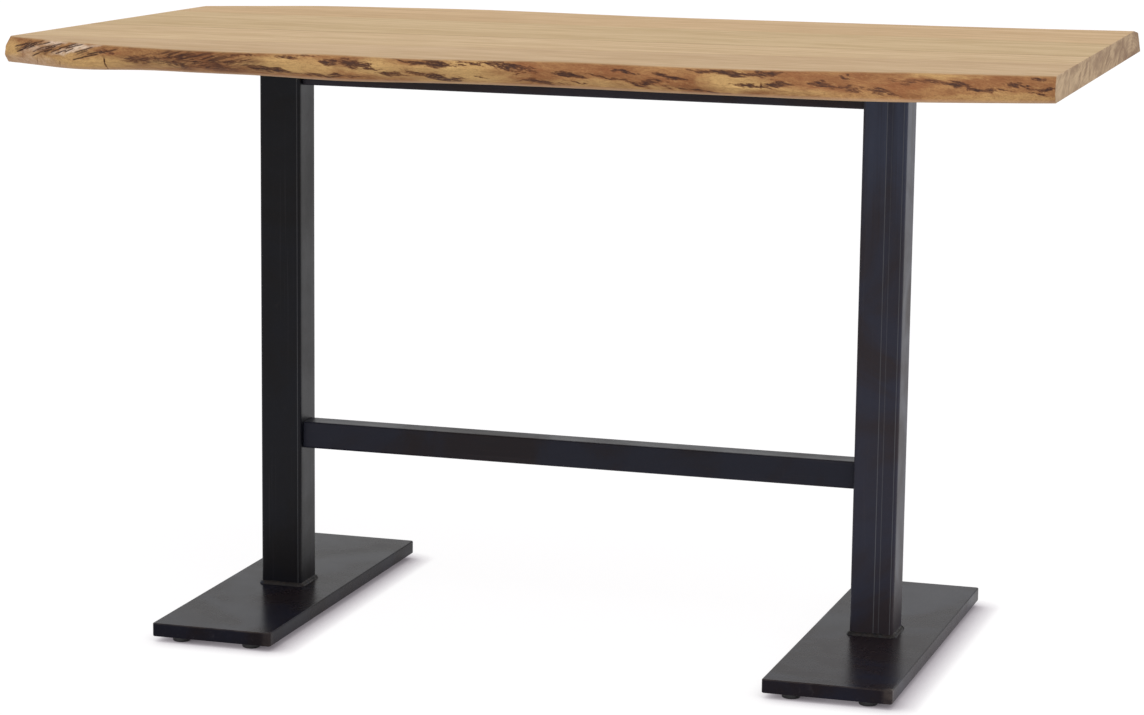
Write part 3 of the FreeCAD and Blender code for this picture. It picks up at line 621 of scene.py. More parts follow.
# Marks on the front live edge as shares of the slab's length and thickness: centre along, centre up,
# half length, half height, slope (thicknesses up for each thickness along), and how strong.
STAIN_SHARES = (
    (0.160, 0.54, 0.020, 0.15, 0.12, 0.60),
    (0.184, 0.62, 0.016, 0.19, 0.30, 0.15),
    (0.204, 0.69, 0.019, 0.15, 0.28, 0.35),
    (0.231, 0.79, 0.012, 0.15, 0.25, 0.35),
    (0.222, 0.52, 0.025, 0.08, 0.20, 0.25),
    (0.236, 0.35, 0.018, 0.12, 0.00, 0.50),
    (0.262, 0.86, 0.017, 0.09, 0.00, 0.68),
    (0.252, 0.60, 0.017, 0.10, 0.10, 0.47),
    (0.287, 0.36, 0.025, 0.13, -0.08, 1.00),
    (0.304, 0.85, 0.012, 0.11, 0.00, 0.63),
    (0.322, 0.90, 0.015, 0.05, 0.00, 0.47),
    (0.347, 0.74, 0.010, 0.12, 0.00, 1.00),
    (0.366, 0.74, 0.012, 0.18, -0.10, 1.00),
    (0.383, 0.67, 0.016, 0.08, -0.20, 0.84),
    (0.337, 0.22, 0.046, 0.09, -0.03, 0.68),
    (0.405, 0.38, 0.017, 0.07, -0.05, 0.84),
    (0.429, 0.44, 0.015, 0.11, -0.12, 0.89),
    (0.453, 0.28, 0.021, 0.11, -0.12, 0.95),
    (0.425, 0.93, 0.022, 0.07, -0.05, 0.80),
    (0.446, 0.85, 0.026, 0.16, -0.05, 1.00),
    (0.487, 0.87, 0.026, 0.07, -0.10, 0.70),
    (0.513, 0.77, 0.026, 0.17, -0.14, 1.00),
    (0.528, 0.60, 0.012, 0.07, 0.25, 0.53),
    (0.489, 0.37, 0.007, 0.05, -0.20, 0.79),
    (0.540, 0.22, 0.028, 0.10, -0.10, 0.65),
    (0.569, 0.57, 0.018, 0.10, -0.12, 0.95),
    (0.560, 0.66, 0.010, 0.05, -0.10, 0.53),
    (0.578, 0.28, 0.010, 0.05, -0.25, 0.58),
    (0.606, 0.49, 0.024, 0.06, -0.12, 0.90),
    (0.627, 0.38, 0.022, 0.06, -0.16, 0.80),
    (0.623, 0.75, 0.015, 0.08, -0.12, 1.00),
    (0.655, 0.72, 0.010, 0.08, 0.05, 0.89),
    (0.668, 0.62, 0.012, 0.11, -0.15, 1.00),
    (0.645, 0.36, 0.017, 0.11, 0.05, 0.79),
    (0.690, 0.17, 0.034, 0.06, -0.07, 0.80),
    (0.712, 0.85, 0.034, 0.14, -0.03, 1.00),
    (0.748, 0.84, 0.020, 0.10, -0.05, 0.80),
    (0.762, 0.52, 0.013, 0.17, -0.05, 1.00),
    (0.739, 0.44, 0.024, 0.05, 0.00, 0.95),
    (0.798, 0.57, 0.016, 0.08, -0.05, 0.84),
    (0.808, 0.50, 0.019, 0.04, -0.15, 0.58),
    (0.818, 0.80, 0.004, 0.05, 0.00, 0.89),
    (0.821, 0.44, 0.021, 0.05, -0.25, 0.63),
    (0.852, 0.33, 0.020, 0.10, -0.12, 0.84),
    (0.872, 0.72, 0.025, 0.10, -0.10, 0.37),
    (0.897, 0.69, 0.018, 0.09, -0.05, 0.68),
    (0.914, 0.63, 0.015, 0.13, 0.00, 1.00),
    (0.934, 0.50, 0.015, 0.08, -0.18, 0.95),
    (0.951, 0.48, 0.015, 0.03, 0.00, 0.63),
    (0.964, 0.67, 0.010, 0.09, -0.05, 0.89),
    (0.976, 0.62, 0.010, 0.05, -0.05, 0.63),
    (0.986, 0.84, 0.007, 0.05, 0.00, 0.95),
    (0.991, 0.55, 0.010, 0.08, 0.05, 0.79),
    (0.986, 0.36, 0.012, 0.08, -0.10, 0.68),
    (0.123, 0.74, 0.010, 0.08, 0.10, 0.45),
)
OCHRE_SHARES = (
    (0.484, 0.45, 0.044, 0.70, 0.00, 1.00),
    (0.470, 0.60, 0.030, 0.50, 0.00, 1.00),
    (0.008, 0.50, 0.014, 0.50, 0.00, 0.70),
    (0.725, 0.50, 0.036, 0.45, 0.00, 1.00),
    (0.300, 0.55, 0.055, 0.40, 0.00, 0.85),
    (0.395, 0.60, 0.034, 0.40, 0.00, 0.95),
    (0.345, 0.45, 0.030, 0.30, 0.10, 0.80),
    (0.596, 0.20, 0.045, 0.25, 0.00, 0.60),
    (0.100, 0.30, 0.070, 0.40, 0.00, 0.90),
    (0.180, 0.35, 0.040, 0.25, 0.10, 0.60),
    (0.785, 0.25, 0.040, 0.25, 0.00, 0.40),
    (0.845, 0.12, 0.030, 0.18, 0.00, 0.30),
    (0.955, 0.18, 0.060, 0.26, 0.00, 0.50),
    (0.465, 0.22, 0.060, 0.26, 0.00, 0.75),
    (0.900, 0.90, 0.040, 0.14, 0.00, 0.60),
    (0.640, 0.12, 0.040, 0.16, 0.00, 0.60),
    (0.440, 0.62, 0.030, 0.20, -0.08, 0.70),
)
RUST_SHARES = (
    (0.868, 0.60, 0.030, 0.34, 0.0, 1.00),
    (0.123, 0.74, 0.018, 0.13, 0.1, 1.00),
    (0.100, 0.55, 0.020, 0.14, 0.2, 0.60),
    (0.526, 0.55, 0.036, 0.50, 0.0, 1.00),
    (0.600, 0.75, 0.040, 0.30, 0.0, 0.80),
    (0.655, 0.50, 0.040, 0.37, 0.0, 0.80),
    (0.230, 0.62, 0.060, 0.40, 0.0, 0.60),
    (0.780, 0.80, 0.030, 0.25, 0.0, 0.60),
    (0.830, 0.70, 0.030, 0.30, 0.0, 0.50),
    (0.800, 0.45, 0.040, 0.22, 0.0, 0.70),
    (0.940, 0.75, 0.060, 0.25, 0.0, 0.50),
    (0.500, 0.05, 0.300, 0.10, 0.0, 0.30),
)
# Pale places where the bark side is planed off at the narrow corner.
BARE_SHARES = (
    (0.088, 0.77, 0.030, 0.17, 0.21, 1.00),
    (0.060, 0.93, 0.020, 0.14, 0.05, 0.90),
    (0.075, 0.62, 0.016, 0.12, 0.15, 0.80),
    (0.036, 0.60, 0.020, 0.20, 0.20, 0.55),
    (0.030, 0.15, 0.050, 0.30, 0.00, 0.40),
)

# Where fine dark streaks slant up to the right, and where the scraped corner is scored.
HATCH_SHARES = (
    (0.205, 0.62, 0.056, 0.44, 0.05, 1.00),
    (0.165, 0.52, 0.026, 0.26, 0.10, 0.70),
    (0.260, 0.62, 0.030, 0.34, 0.00, 0.60),
    (0.236, 0.30, 0.034, 0.20, 0.00, 0.70),
    (0.370, 0.74, 0.024, 0.20, -0.10, 0.40),
)
SCRAPE_SHARES = (
    (0.028, 0.72, 0.016, 0.16, 0.25, 0.90),
    (0.053, 0.67, 0.013, 0.14, 0.20, 0.80),
    (0.076, 0.82, 0.016, 0.12, 0.22, 0.55),
    (0.102, 0.70, 0.022, 0.16, 0.18, 0.50),
)

# Slanting cuts near the narrow corner: lower left end and upper right end, along and up.
GOUGE_SHARES = (
    (0.009, 0.62, 0.034, 0.87),
    (0.013, 0.44, 0.025, 0.57),
    (0.015, 0.50, 0.041, 0.77),
    (0.020, 0.66, 0.050, 1.00),
    (0.018, 0.58, 0.044, 0.86),
    (0.037, 0.75, 0.058, 0.95),
    (0.032, 0.30, 0.051, 0.62),
    (0.033, 0.47, 0.052, 0.78),
    (0.044, 0.59, 0.066, 0.82),
    (0.045, 0.68, 0.073, 0.94),
    (0.047, 0.52, 0.062, 0.70),
    (0.056, 0.52, 0.073, 0.79),
    (0.062, 0.49, 0.079, 0.74),
    (0.064, 0.70, 0.092, 1.00),
    (0.072, 0.72, 0.098, 0.98),
    (0.074, 0.60, 0.086, 0.80),
    (0.084, 0.59, 0.110, 0.92),
    (0.088, 0.57, 0.104, 0.77),
    (0.099, 0.57, 0.122, 0.79),
    (0.112, 0.64, 0.138, 0.90),
    (0.094, 0.46, 0.118, 0.67),
    (0.084, 0.34, 0.101, 0.51),
)
GOUGE_WIDTH = 1.35 * MM
# What a live edge's points hold besides its splits.
MARKS = ("stain", "ochre", "rust", "bare", "hatch", "scrape", "gouge")
# Width of the brown stripe beside the middle glue line, and reach of the open glue line in the square end.
STRIPE_WIDTH = 6 * MM
CRACK_REACH = 3.5 * MM

# Upright splits: place along, lower and upper end, and how strong.
SPLIT_SHARES = ((0.041, 0.06, 0.34, 0.50), (0.070, 0.04, 0.32, 0.45), (0.120, 0.03, 0.54, 0.90),
                (0.746, 0.34, 0.56, 0.80))
SPLIT_WIDTH = 0.9 * MM
# Where the paler band of the live edge begins to fade, and where it ends, above the underside.
RIM_START, RIM_REACH = 1 * MM, 7 * MM

# Points along a board with a live edge, along one without, and along the scored corner.
LIVE_COUNT, PLAIN_COUNT, SCORED_COUNT = 600, 160, 200
SCORED_SHARE = 0.16
# Within this distance of a long side a point keeps its distance from it.
HELD_REACH = 12 * MM
# Points are laid out on a board whose width is the mean of its own and this one.
LATTICE_WIDTH = 0.25
# Radius of a board's upright corners, as a share of its arris.
UPRIGHT_CORNER_SHARE = 1.4
# How far the groove of a glue line reaches to either side and down from the face, and how far from the line
# there are points.
SEAM_REACH, SEAM_RISE = 1.2 * MM, 2 * MM
SEAM_STEPS = np.array((0, 0.5 * MM, SEAM_REACH, 3.5 * MM, STRIPE_WIDTH))


def ovals(along, up, rows):
    """The strongest of the pointed ovals at each point.

    One is worth strength (1.25 - |u|^1.2 - |v|^1.5) from 0 to 1, where u and v are the distances from its
    centre along and up in half lengths and half heights, after its slope is taken off.
    """
    best = np.zeros(along.shape)
    slab_shape = SLAB_LENGTH / SLAB_THICKNESS
    for centre, height, half_length, half_height, slope, strength in rows:
        u = np.abs(along - centre) / half_length
        v = np.abs(up - height - slope * slab_shape * (along - centre)) / half_height
        best = np.maximum(best, strength * np.clip(1.25 - u ** 1.2 - v ** 1.5, 0, 1))
    return best


def scratches(along, up, rows):
    """How near each point is to a slanting cut, 1 on its line: exp(-(distance / width)^2), fading at the ends.

    Both shares are measured in thicknesses of the slab, along and up.
    """
    best = np.zeros(along.shape)
    ratio = SLAB_LENGTH / SLAB_THICKNESS
    width = GOUGE_WIDTH / SLAB_THICKNESS
    for left, low, right, high in rows:
        run, rise = (right - left) * ratio, high - low
        size = math.hypot(run, rise)
        u = ((along - left) * ratio * run + (up - low) * rise) / size
        v = (-(along - left) * ratio * rise + (up - low) * run) / size
        fade = smooth_step(u, 0, 0.2 * size) * (1 - smooth_step(u, 0.75 * size, size))
        best = np.maximum(best, np.exp(-(v / width) ** 2) * fade)
    return best


def splits(along, up, rows):
    """How near each point is to an upright split, 1 on its line: exp(-(distance / width)^2), fading at the ends.

    The line sways to either side by 0.0004 sin(8 up + 90 place) of the slab's length.
    """
    best = np.zeros(along.shape)
    for place, low, high, strength in rows:
        wander = place + 0.0004 * np.sin(up * 8 + place * 90)
        near = strength * np.exp(-((along - wander) * SLAB_LENGTH / SPLIT_WIDTH) ** 2)
        best = np.maximum(best, near * smooth_step(up, low - 0.06, low + 0.04) *
                          (1 - smooth_step(up, high - 0.1, high + 0.04)))
    return best


BOX = {node: node_box(node) for node in BOARDS}
SLAB_LOW = np.min([BOX[node][0] for node in BOARDS], 0)
SLAB_HIGH = np.max([BOX[node][1] for node in BOARDS], 0)
SLAB_LENGTH, SLAB_DEPTH, SLAB_THICKNESS = SLAB_HIGH - SLAB_LOW


def saw_line(y):
    """X of the slanting sawn end at y: the line through the near corners of the two inner boards."""
    first, second = BOX["top_inner_board_1"][0], BOX["top_inner_board_2"][0]
    return first[0] + (y - first[1]) * (second[0] - first[0]) / (second[1] - first[1])


# Each glue line's Y at the slanting end and at the square end.
GLUE_LINES = (
    (BOX["top_inner_board_1"][0][1], BOX["top_front_board"][1][1]),
    (BOX["top_inner_board_2"][0][1], BOX["top_inner_board_1"][1][1]),
    (BOX["top_back_board"][0][1], BOX["top_inner_board_2"][1][1]),
)


def glue_line(ends, x):
    """Y of a glue line at x, straight from one sawn end to the other."""
    start = saw_line(ends[0])
    return ends[0] + (ends[1] - ends[0]) * (x - start) / (SLAB_HIGH[0] - start)


class LiveEdge:
    """The outline of a packed live edge, felt with rays along Y at four heights."""

    def __init__(self, node, towards, height_shares):
        self.towards = towards
        self.shares = np.array(height_shares)
        low, high = BOX[node]
        tree = BVHTree.FromObject(frame["nodes"][node], bpy.context.evaluated_depsgraph_get())
        outside = -towards * SLAB_DEPTH
        start = saw_line(low[1] if towards > 0 else high[1])
        self.stations = np.linspace(start + STATION_MARGINS[0], SLAB_HIGH[0] - STATION_MARGINS[1], STATIONS)
        lines = []
        for height in SLAB_LOW[2] + self.shares * SLAB_THICKNESS:
            hits = [tree.ray_cast(Vector((x, outside, height)), Vector((0, towards, 0)))[0] for x in self.stations]
            lines.append([hit.y for hit in hits])
        self.lines = np.array(lines)

    def place(self, x, up):
        """Y of the edge at x and a height share.

        The four lines are read at x, carried on straight past both ends, and joined by straight runs up the
        edge, whose corners are softened by the mean of a few heights close by.
        """
        near = (x - self.stations[0]) / (self.stations[1] - self.stations[0])
        first = np.clip(np.floor(near), 0, STATIONS - 2).astype(int)
        rest = near - first
        total = np.zeros(x.shape)
        for shift in SOFTENING:
            height = np.clip(up + shift, self.shares[0], self.shares[-1])
            for k, line in enumerate(self.lines):
                hat = np.interp(height, self.shares, np.eye(len(self.shares))[k])
                total += hat * (line[first] * (1 - rest) + line[first + 1] * rest)
        return np.clip(total / len(SOFTENING), SLAB_LOW[1] + BOX_MARGIN, SLAB_HIGH[1] - BOX_MARGIN)


def ragged(along, up, seed):
    """The two shares shifted by waves, so that what is drawn at them has a ragged outline."""
    x, height = along * SLAB_LENGTH, up * SLAB_THICKNESS
    shift_along = 5 * MM * waves(x, height, seed, 30 * MM, 6 * MM, 1.5)
    shift_up = 2.6 * MM * waves(x, height, seed + 1, 40 * MM, 5 * MM, 2.2)
    return along + shift_along / SLAB_LENGTH, up + shift_up / SLAB_THICKNESS


def front_marks(along, up):
    """The values that the front live edge holds for each point, each 0 to 1."""
    frayed = ragged(along, up, 61)
    bands = ragged(along, up, 65)
    # The cuts are all but straight: they take a twentieth of the raggedness.
    straighter = [0.05 * a + 0.95 * b for a, b in zip(frayed, (along, up))]
    gouge = scratches(*straighter, GOUGE_SHARES)
    split = splits(along, up, SPLIT_SHARES)
    return {"stain": np.maximum(ovals(*frayed, STAIN_SHARES), split), "ochre": ovals(*frayed, OCHRE_SHARES),
            "rust": ovals(*frayed, RUST_SHARES), "bare": ovals(*frayed, BARE_SHARES),
            "hatch": ovals(*bands, HATCH_SHARES), "scrape": ovals(*bands, SCRAPE_SHARES),
            "gouge": gouge, "split": split}


def back_marks(along, up):
    """Like values for the back live edge, scattered by a seeded draw."""
    random = np.random.default_rng(11)
    rows = [(random.uniform(0.03, 0.98), random.uniform(0.15, 0.9), random.uniform(0.006, 0.028),
             random.uniform(0.05, 0.17), random.uniform(-0.2, 0.1), random.uniform(0.5, 1.0))
            for _ in range(46)]
    warm = [(random.uniform(0.1, 0.95), 0.5, random.uniform(0.02, 0.06), 0.45, 0.0, 0.9) for _ in range(12)]
    frayed = ragged(along, up, 83)
    none = np.zeros(along.shape)
    return {"stain": ovals(*frayed, rows), "ochre": ovals(*frayed, warm[:6]),
            "rust": ovals(*frayed, warm[6:]), "bare": none, "hatch": none, "scrape": none,
            "gouge": none, "split": none}


def edge_depth(x, up, marks, seed):
    """How far the skin of a live edge lies back from its outline: ripples, stains, cuts and splits."""
    s = wood()
    height = up * SLAB_THICKNESS
    ripple = waves(x, height, seed, 90 * MM, 5 * MM, 3.2)
    fibre = waves(x, height, seed + 1, 9 * MM, 3 * MM, 14.0)
    ruck = waves(x, height, seed + 2, 11 * MM, 4 * MM, 1.6)
    depth = s.ripple * (0.5 + 0.4 * ripple + 0.14 * fibre)
    depth += s.rot * smooth_step(marks["stain"], 0.1, 0.9) * (0.6 + 0.4 * ruck)
    depth += s.gouge * marks["gouge"] + s.split * marks["split"]
    return np.maximum(depth, 0)


def board_lines(width, corner, live_front, live_back):
    """Where a board's points stand along, across and up it: closer together at arrises, glue lines and cuts."""
    arris = wood().arris
    steps = np.unique(np.concatenate((arris_steps(arris), arris_steps(corner))))
    count = LIVE_COUNT if live_front or live_back else PLAIN_COUNT
    along = np.concatenate((steps, np.linspace(steps[-1], SLAB_LENGTH - steps[-1], count)[1:-1],
                            SLAB_LENGTH - steps[::-1]))
    if live_front:
        split = [row[0] * SLAB_LENGTH + np.arange(-3, 4) * SPLIT_WIDTH * 0.6 for row in SPLIT_SHARES]
        scored = np.linspace(steps[-1], SCORED_SHARE * SLAB_LENGTH, SCORED_COUNT)[1:]
        along = np.unique(np.round(np.concatenate((along, scored, *split)), 6))
    front_steps = steps if live_front else SEAM_STEPS
    back_steps = steps if live_back else SEAM_STEPS
    inside = np.linspace(HELD_REACH, width - HELD_REACH, 4)
    across = np.concatenate((front_steps, inside, width - back_steps[::-1]))
    rise = arris_steps(arris)
    up = np.concatenate((rise, np.linspace(arris, SLAB_THICKNESS - arris, 31)[1:-1],
                         SLAB_THICKNESS - rise[::-1]))
    return along, across, up


def board_values(name, box, width, live_front, live_back):
    """The values, each 0 to 1, that tell the parts of a board's skin apart: live edge, sawn end and so on.

    box holds the board's points as they are laid out, before they are bent.
    """
    arris = wood().arris
    to_front, to_back = box[:, 1], width - box[:, 1]
    seam, crack, stripe, live = np.zeros((4, len(box)))
    for lives, distance in ((live_front, to_front), (live_back, to_back)):
        if not lives:
            seam = np.maximum(seam, 1 - np.clip(distance / SEAM_REACH, 0, 1))
    middle_joint = {"top_inner_board_1": to_back, "top_inner_board_2": to_front}.get(name)
    if middle_joint is not None:
        near_end = 1 - smooth_step(SLAB_LENGTH - box[:, 0], 2 * MM, 14 * MM)
        crack = (1 - np.clip(middle_joint / CRACK_REACH, 0, 1)) * near_end
    if name == "top_inner_board_2":
        stripe = 1 - smooth_step(to_front, 0.5 * STRIPE_WIDTH, STRIPE_WIDTH)
    if live_front or live_back:
        to_live = to_front if live_front else to_back
        to_face = np.minimum(box[:, 2], SLAB_THICKNESS - box[:, 2])
        live = (1 - smooth_step(to_live, 0, 0.5 * arris)) * (0.2 + 0.8 * smooth_step(to_face, 0, 1.7 * arris))
    to_end = np.minimum(box[:, 0], SLAB_LENGTH - box[:, 0])
    end = 1 - smooth_step(to_end, 0.25 * arris, 0.9 * arris)
    return {"live": live, "end": end, "seam": seam, "crack": crack, "stripe": stripe}


def lay_board(name, material, front, back, marks):
    """One board: a box with rounded arrises, bent so that its long sides follow their lines.

    front and back each say whether the side is live and give its Y at (x, height share, marks). A point keeps
    its distance from the nearer long side, and the difference in width is taken up between. Along X it keeps
    its share between the two sawn ends.
    """
    s = wood()
    low, high = BOX[name]
    (live_front, front_y), (live_back, back_y) = front, back
    width = (high[1] - low[1] + LATTICE_WIDTH) / 2
    corner = s.arris * UPRIGHT_CORNER_SHARE
    lines = board_lines(width, corner, live_front, live_back)
    index, quads = lattice_skin([len(line) for line in lines])
    box = np.column_stack([line[index[:, k]] for k, line in enumerate(lines)])
    box_low = np.array((0, 0 if live_front else -corner, 0))
    box_high = np.array((SLAB_LENGTH, width if live_back else width + corner, SLAB_THICKNESS))
    a, b, c = rounded(box, box_low, box_high, corner, s.arris).T

    # X depends on Y, as the sawn end slants, and Y on X, as the sides wander: a few rounds settle both.
    share_up = np.clip(c / SLAB_THICKNESS, 0, 1)
    y = np.full(a.shape, (low[1] + high[1]) / 2)
    for _ in range(4):
        x = saw_line(y) + a / SLAB_LENGTH * (SLAB_HIGH[0] - saw_line(y))
        held = marks((x - SLAB_LOW[0]) / SLAB_LENGTH, share_up) if marks else {}
        y_front = front_y(x, share_up, held)
        spare = back_y(x, share_up, held) - y_front - width
        y = y_front + b + spare * np.clip((b - HELD_REACH) / (width - 2 * HELD_REACH), 0, 1)

    values = board_values(name, box, width, live_front, live_back)
    near_top = np.clip(1 - (SLAB_THICKNESS - box[:, 2]) / SEAM_RISE, 0, 1)
    x = x - s.crack * values["crack"]
    z = SLAB_LOW[2] + c - s.seam * values["seam"] * near_top
    for label in MARKS:
        values[label] = held.get(label, np.zeros(a.shape))
    make_piece(name.replace("top_", "wood_"), np.column_stack((x, y, z)), quads, material, TABLE,
               [name], values)


def live_side(node, towards, height_shares, seed):
    """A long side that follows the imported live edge, set back by its ripples and marks."""
    edge = LiveEdge(node, towards, height_shares)

    def place(x, up, held):
        return edge.place(x, up) + towards * edge_depth(x, up, held, seed)
    return True, place


def glued_side(number):
    """A long side that follows a glue line."""
    return False, lambda x, up, held: glue_line(GLUE_LINES[number], x)


class BAR_TABLE_OT_front_board(bpy.types.Operator):
    """Builds the front board with its gouged and stained live edge"""

    bl_idname = "bar_table.front_board"
    bl_label = "Front board"

    def execute(self, context):
        material = board_material("front board wood", (-0.62, 0.78), srgb(245, 239, 236))
        side = live_side("top_front_board", 1, EDGE_HEIGHT_SHARES["front"], 21)
        lay_board("top_front_board", material, side, glued_side(0), front_marks)
        return {"FINISHED"}


class BAR_TABLE_OT_inner_boards(bpy.types.Operator):
    """Builds the two boards between the glue lines"""

    bl_idname = "bar_table.inner_boards"
    bl_label = "Inner boards"

    def execute(self, context):
        piths = ((-0.05, 0.70), (0.22, 0.66))
        tints = (srgb(253, 250, 246), srgb(248, 246, 238))
        for number in (1, 2):
            material = board_material(f"inner board {number} wood", piths[number - 1], tints[number - 1])
            lay_board(f"top_inner_board_{number}", material, glued_side(number - 1), glued_side(number), None)
        return {"FINISHED"}


class BAR_TABLE_OT_back_board(bpy.types.Operator):
    """Builds the back board with its live edge"""

    bl_idname = "bar_table.back_board"
    bl_label = "Back board"

    def execute(self, context):
        material = board_material("back board wood", (0.40, 0.80), srgb(250, 242, 234))
        side = live_side("top_back_board", -1, EDGE_HEIGHT_SHARES["back"], 47)
        lay_board("top_back_board", material, glued_side(2), side, back_marks)
        return {"FINISHED"}


# The welded base

# Wall and corner radius as shares of a tube's side: 80 mm for a column and 50 mm for a cross tube.
WALL_SHARE = {"column": 4 / 80, "tube": 3 / 50}
CORNER_SHARE = {"column": 6 / 80, "tube": 4.5 / 50}
# Fine lines up the front of the right column: place across it and strength.
LINE_SHARES = ((0.55, 0.60), (0.67, 0.28))
LINE_WIDTH = 1.0 * MM
# How far the sawn ends of a tube are filed off.
BURR = 0.4 * MM
TUBE_SHINE, PLATE_SHINE = 0.16, 0.04
TUBE_ROUGHNESS, PLATE_ROUGHNESS = (0.30, 0.42), (0.18, 0.25)


def dress(kind, material):
    """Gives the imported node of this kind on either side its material."""
    for side in SIDES:
        materials = frame["nodes"][f"{side}_{kind}"].data.materials
        materials.clear()
        materials.append(material)


def square_tube(node, kind, axis, material):
    """A hollow square tube: its outline carried up the outside and back down the bore, closed at both ends.

    The rings along the way are the same outline, smaller by the wall in the bore, whose corners are rounder
    than an even wall would make them, and by the filed edge at both ends of the outside.
    """
    s = steel()
    low, high = node_box(node)
    first, second = [k for k in range(3) if k != axis]
    side = high[first] - low[first]
    wall, corner = WALL_SHARE[kind] * side, CORNER_SHARE[kind] * side
    outer = rounded_square(side, corner, drawn_in=s.drawn_in)
    inner = rounded_square(side - 2 * wall, corner - wall * 0.6)
    filed = outer * (1 - 2 * BURR / side)
    rings = [(filed, low[axis]), (outer, low[axis] + BURR), (outer, high[axis] - BURR),
             (filed, high[axis]), (inner, high[axis]), (inner, low[axis])]
    middle = (low + high) / 2
    points = []
    for outline, height in rings:
        ring = np.empty((len(outline), 3))
        ring[:, first] = middle[first] + outline[:, 0]
        ring[:, second] = middle[second] + outline[:, 1]
        ring[:, axis] = height
        points.append(ring)
    quads = grid_quads(len(rings), len(outer), wrap_rows=True, wrap_columns=True)
    make_piece(f"steel_{node}", np.concatenate(points), quads, material, TABLE, [node])


class BAR_TABLE_OT_columns(bpy.types.Operator):
    """Builds the two square columns"""

    bl_idname = "bar_table.columns"
    bl_label = "Columns"

    def execute(self, context):
        # Painted light: the left column's darker tint paints shade and the right column's full tint paints sheen, as
        # if lit more from the right.
        for side, tint, shares, blued in (("left", srgb(104, 104, 112), (), 0.0),
                                          ("right", srgb(255, 250, 255), LINE_SHARES, 0.6)):
            low, high = node_box(f"{side}_column")
            width = high[0] - low[0]
            arris = 1 - CORNER_SHARE["column"]
            lines = [("X", low[0] + share * width, strength) for share, strength in shares]
            # Pale lines where a column's flats meet its rounded corners: painted highlights.
            lines += [("X", low[0] + arris * width, 0.45), ("Y", low[1] + arris * width, 0.3)]
            material = steel_material(f"{side} column steel", "Z", tint, TUBE_SHINE, *TUBE_ROUGHNESS, lines, blued)
            square_tube(f"{side}_column", "column", 2, material)
        return {"FINISHED"}


class BAR_TABLE_OT_cross_tubes(bpy.types.Operator):
    """Builds the footrest and the rail under the slab"""

    bl_idname = "bar_table.cross_tubes"
    bl_label = "Cross tubes"

    def execute(self, context):
        for node, name, tint, shine in (("footrest_tube", "footrest steel", srgb(204, 202, 204), 0.115),
                                        ("upper_rail", "rail steel", srgb(236, 214, 206), TUBE_SHINE)):
            square_tube(node, "tube", 0, steel_material(name, "X", tint, shine, *TUBE_ROUGHNESS))
        return {"FINISHED"}


PLATE_CORNER = 5 * MM
PLATE_ARRIS = 2.2 * MM
# How far from its front right corner a plate's skin is rubbed.
RUBBED_REACH = 20 * MM


def plate(node, material, rub):
    """A flat plate: a box with rounded upright corners and arrises.

    Its skin is rubbed by the strength rub at its front right corner, and is lighter a little along its front top
    arris, where that lighter strip is a painted highlight.
    """
    low, high = node_box(node)
    corner, arris = PLATE_CORNER, PLATE_ARRIS
    steps = np.unique(np.concatenate((arris_steps(corner), arris_steps(arris))))
    lines = []
    for k in range(2):
        size = high[k] - low[k]
        count = max(3, int(size / 0.03))
        inside = np.linspace(corner, size - corner, count)[1:-1]
        close = np.linspace(corner, RUBBED_REACH, 5)[1:]
        inside = np.unique(np.concatenate((inside, close, size - close)))
        lines.append(np.concatenate((steps, inside, size - steps[::-1])))
    rise = arris_steps(arris)
    size = high[2] - low[2]
    lines.append(np.concatenate((rise, (size / 2,), size - rise[::-1])))
    index, quads = lattice_skin([len(line) for line in lines])
    box = low + np.column_stack([lines[k][index[:, k]] for k in range(3)])
    points = rounded(box, low, high, corner, arris)
    to_corner = np.hypot(high[0] - points[:, 0], points[:, 1] - low[1])
    rubbed = rub * (1 - smooth_step(to_corner, 0.4 * RUBBED_REACH, RUBBED_REACH))
    # The lighter strip along the front top arris is a painted highlight.
    rubbed = np.maximum(rubbed, 0.35 * (np.abs(high[2] - points[:, 2]) < arris) *
                        (np.abs(points[:, 1] - low[1]) < 2 * arris))
    make_piece(f"steel_{node}", points, quads, material, TABLE, [node], {"rubbed": rubbed})


class BAR_TABLE_OT_foot_plates(bpy.types.Operator):
    """Builds the two plates that the columns stand on"""

    bl_idname = "bar_table.foot_plates"
    bl_label = "Foot plates"

    def execute(self, context):
        for side, rub, tint in (("left", 0.3, srgb(168, 163, 167)), ("right", 0.75, srgb(196, 190, 195))):
            material = steel_material(f"{side} plate steel", "Y", tint, PLATE_SHINE, *PLATE_ROUGHNESS)
            plate(f"{side}_foot_plate", material, rub)
        return {"FINISHED"}


class BAR_TABLE_OT_mounting_plates(bpy.types.Operator):
    """Finishes the drilled plates under the slab"""

    bl_idname = "bar_table.mounting_plates"
    bl_label = "Mounting plates"

    def execute(self, context):
        material = steel_material("mounting plate steel", "Y", srgb(200, 200, 200), TUBE_SHINE, *TUBE_ROUGHNESS)
        dress("mounting_plate", material)
        return {"FINISHED"}


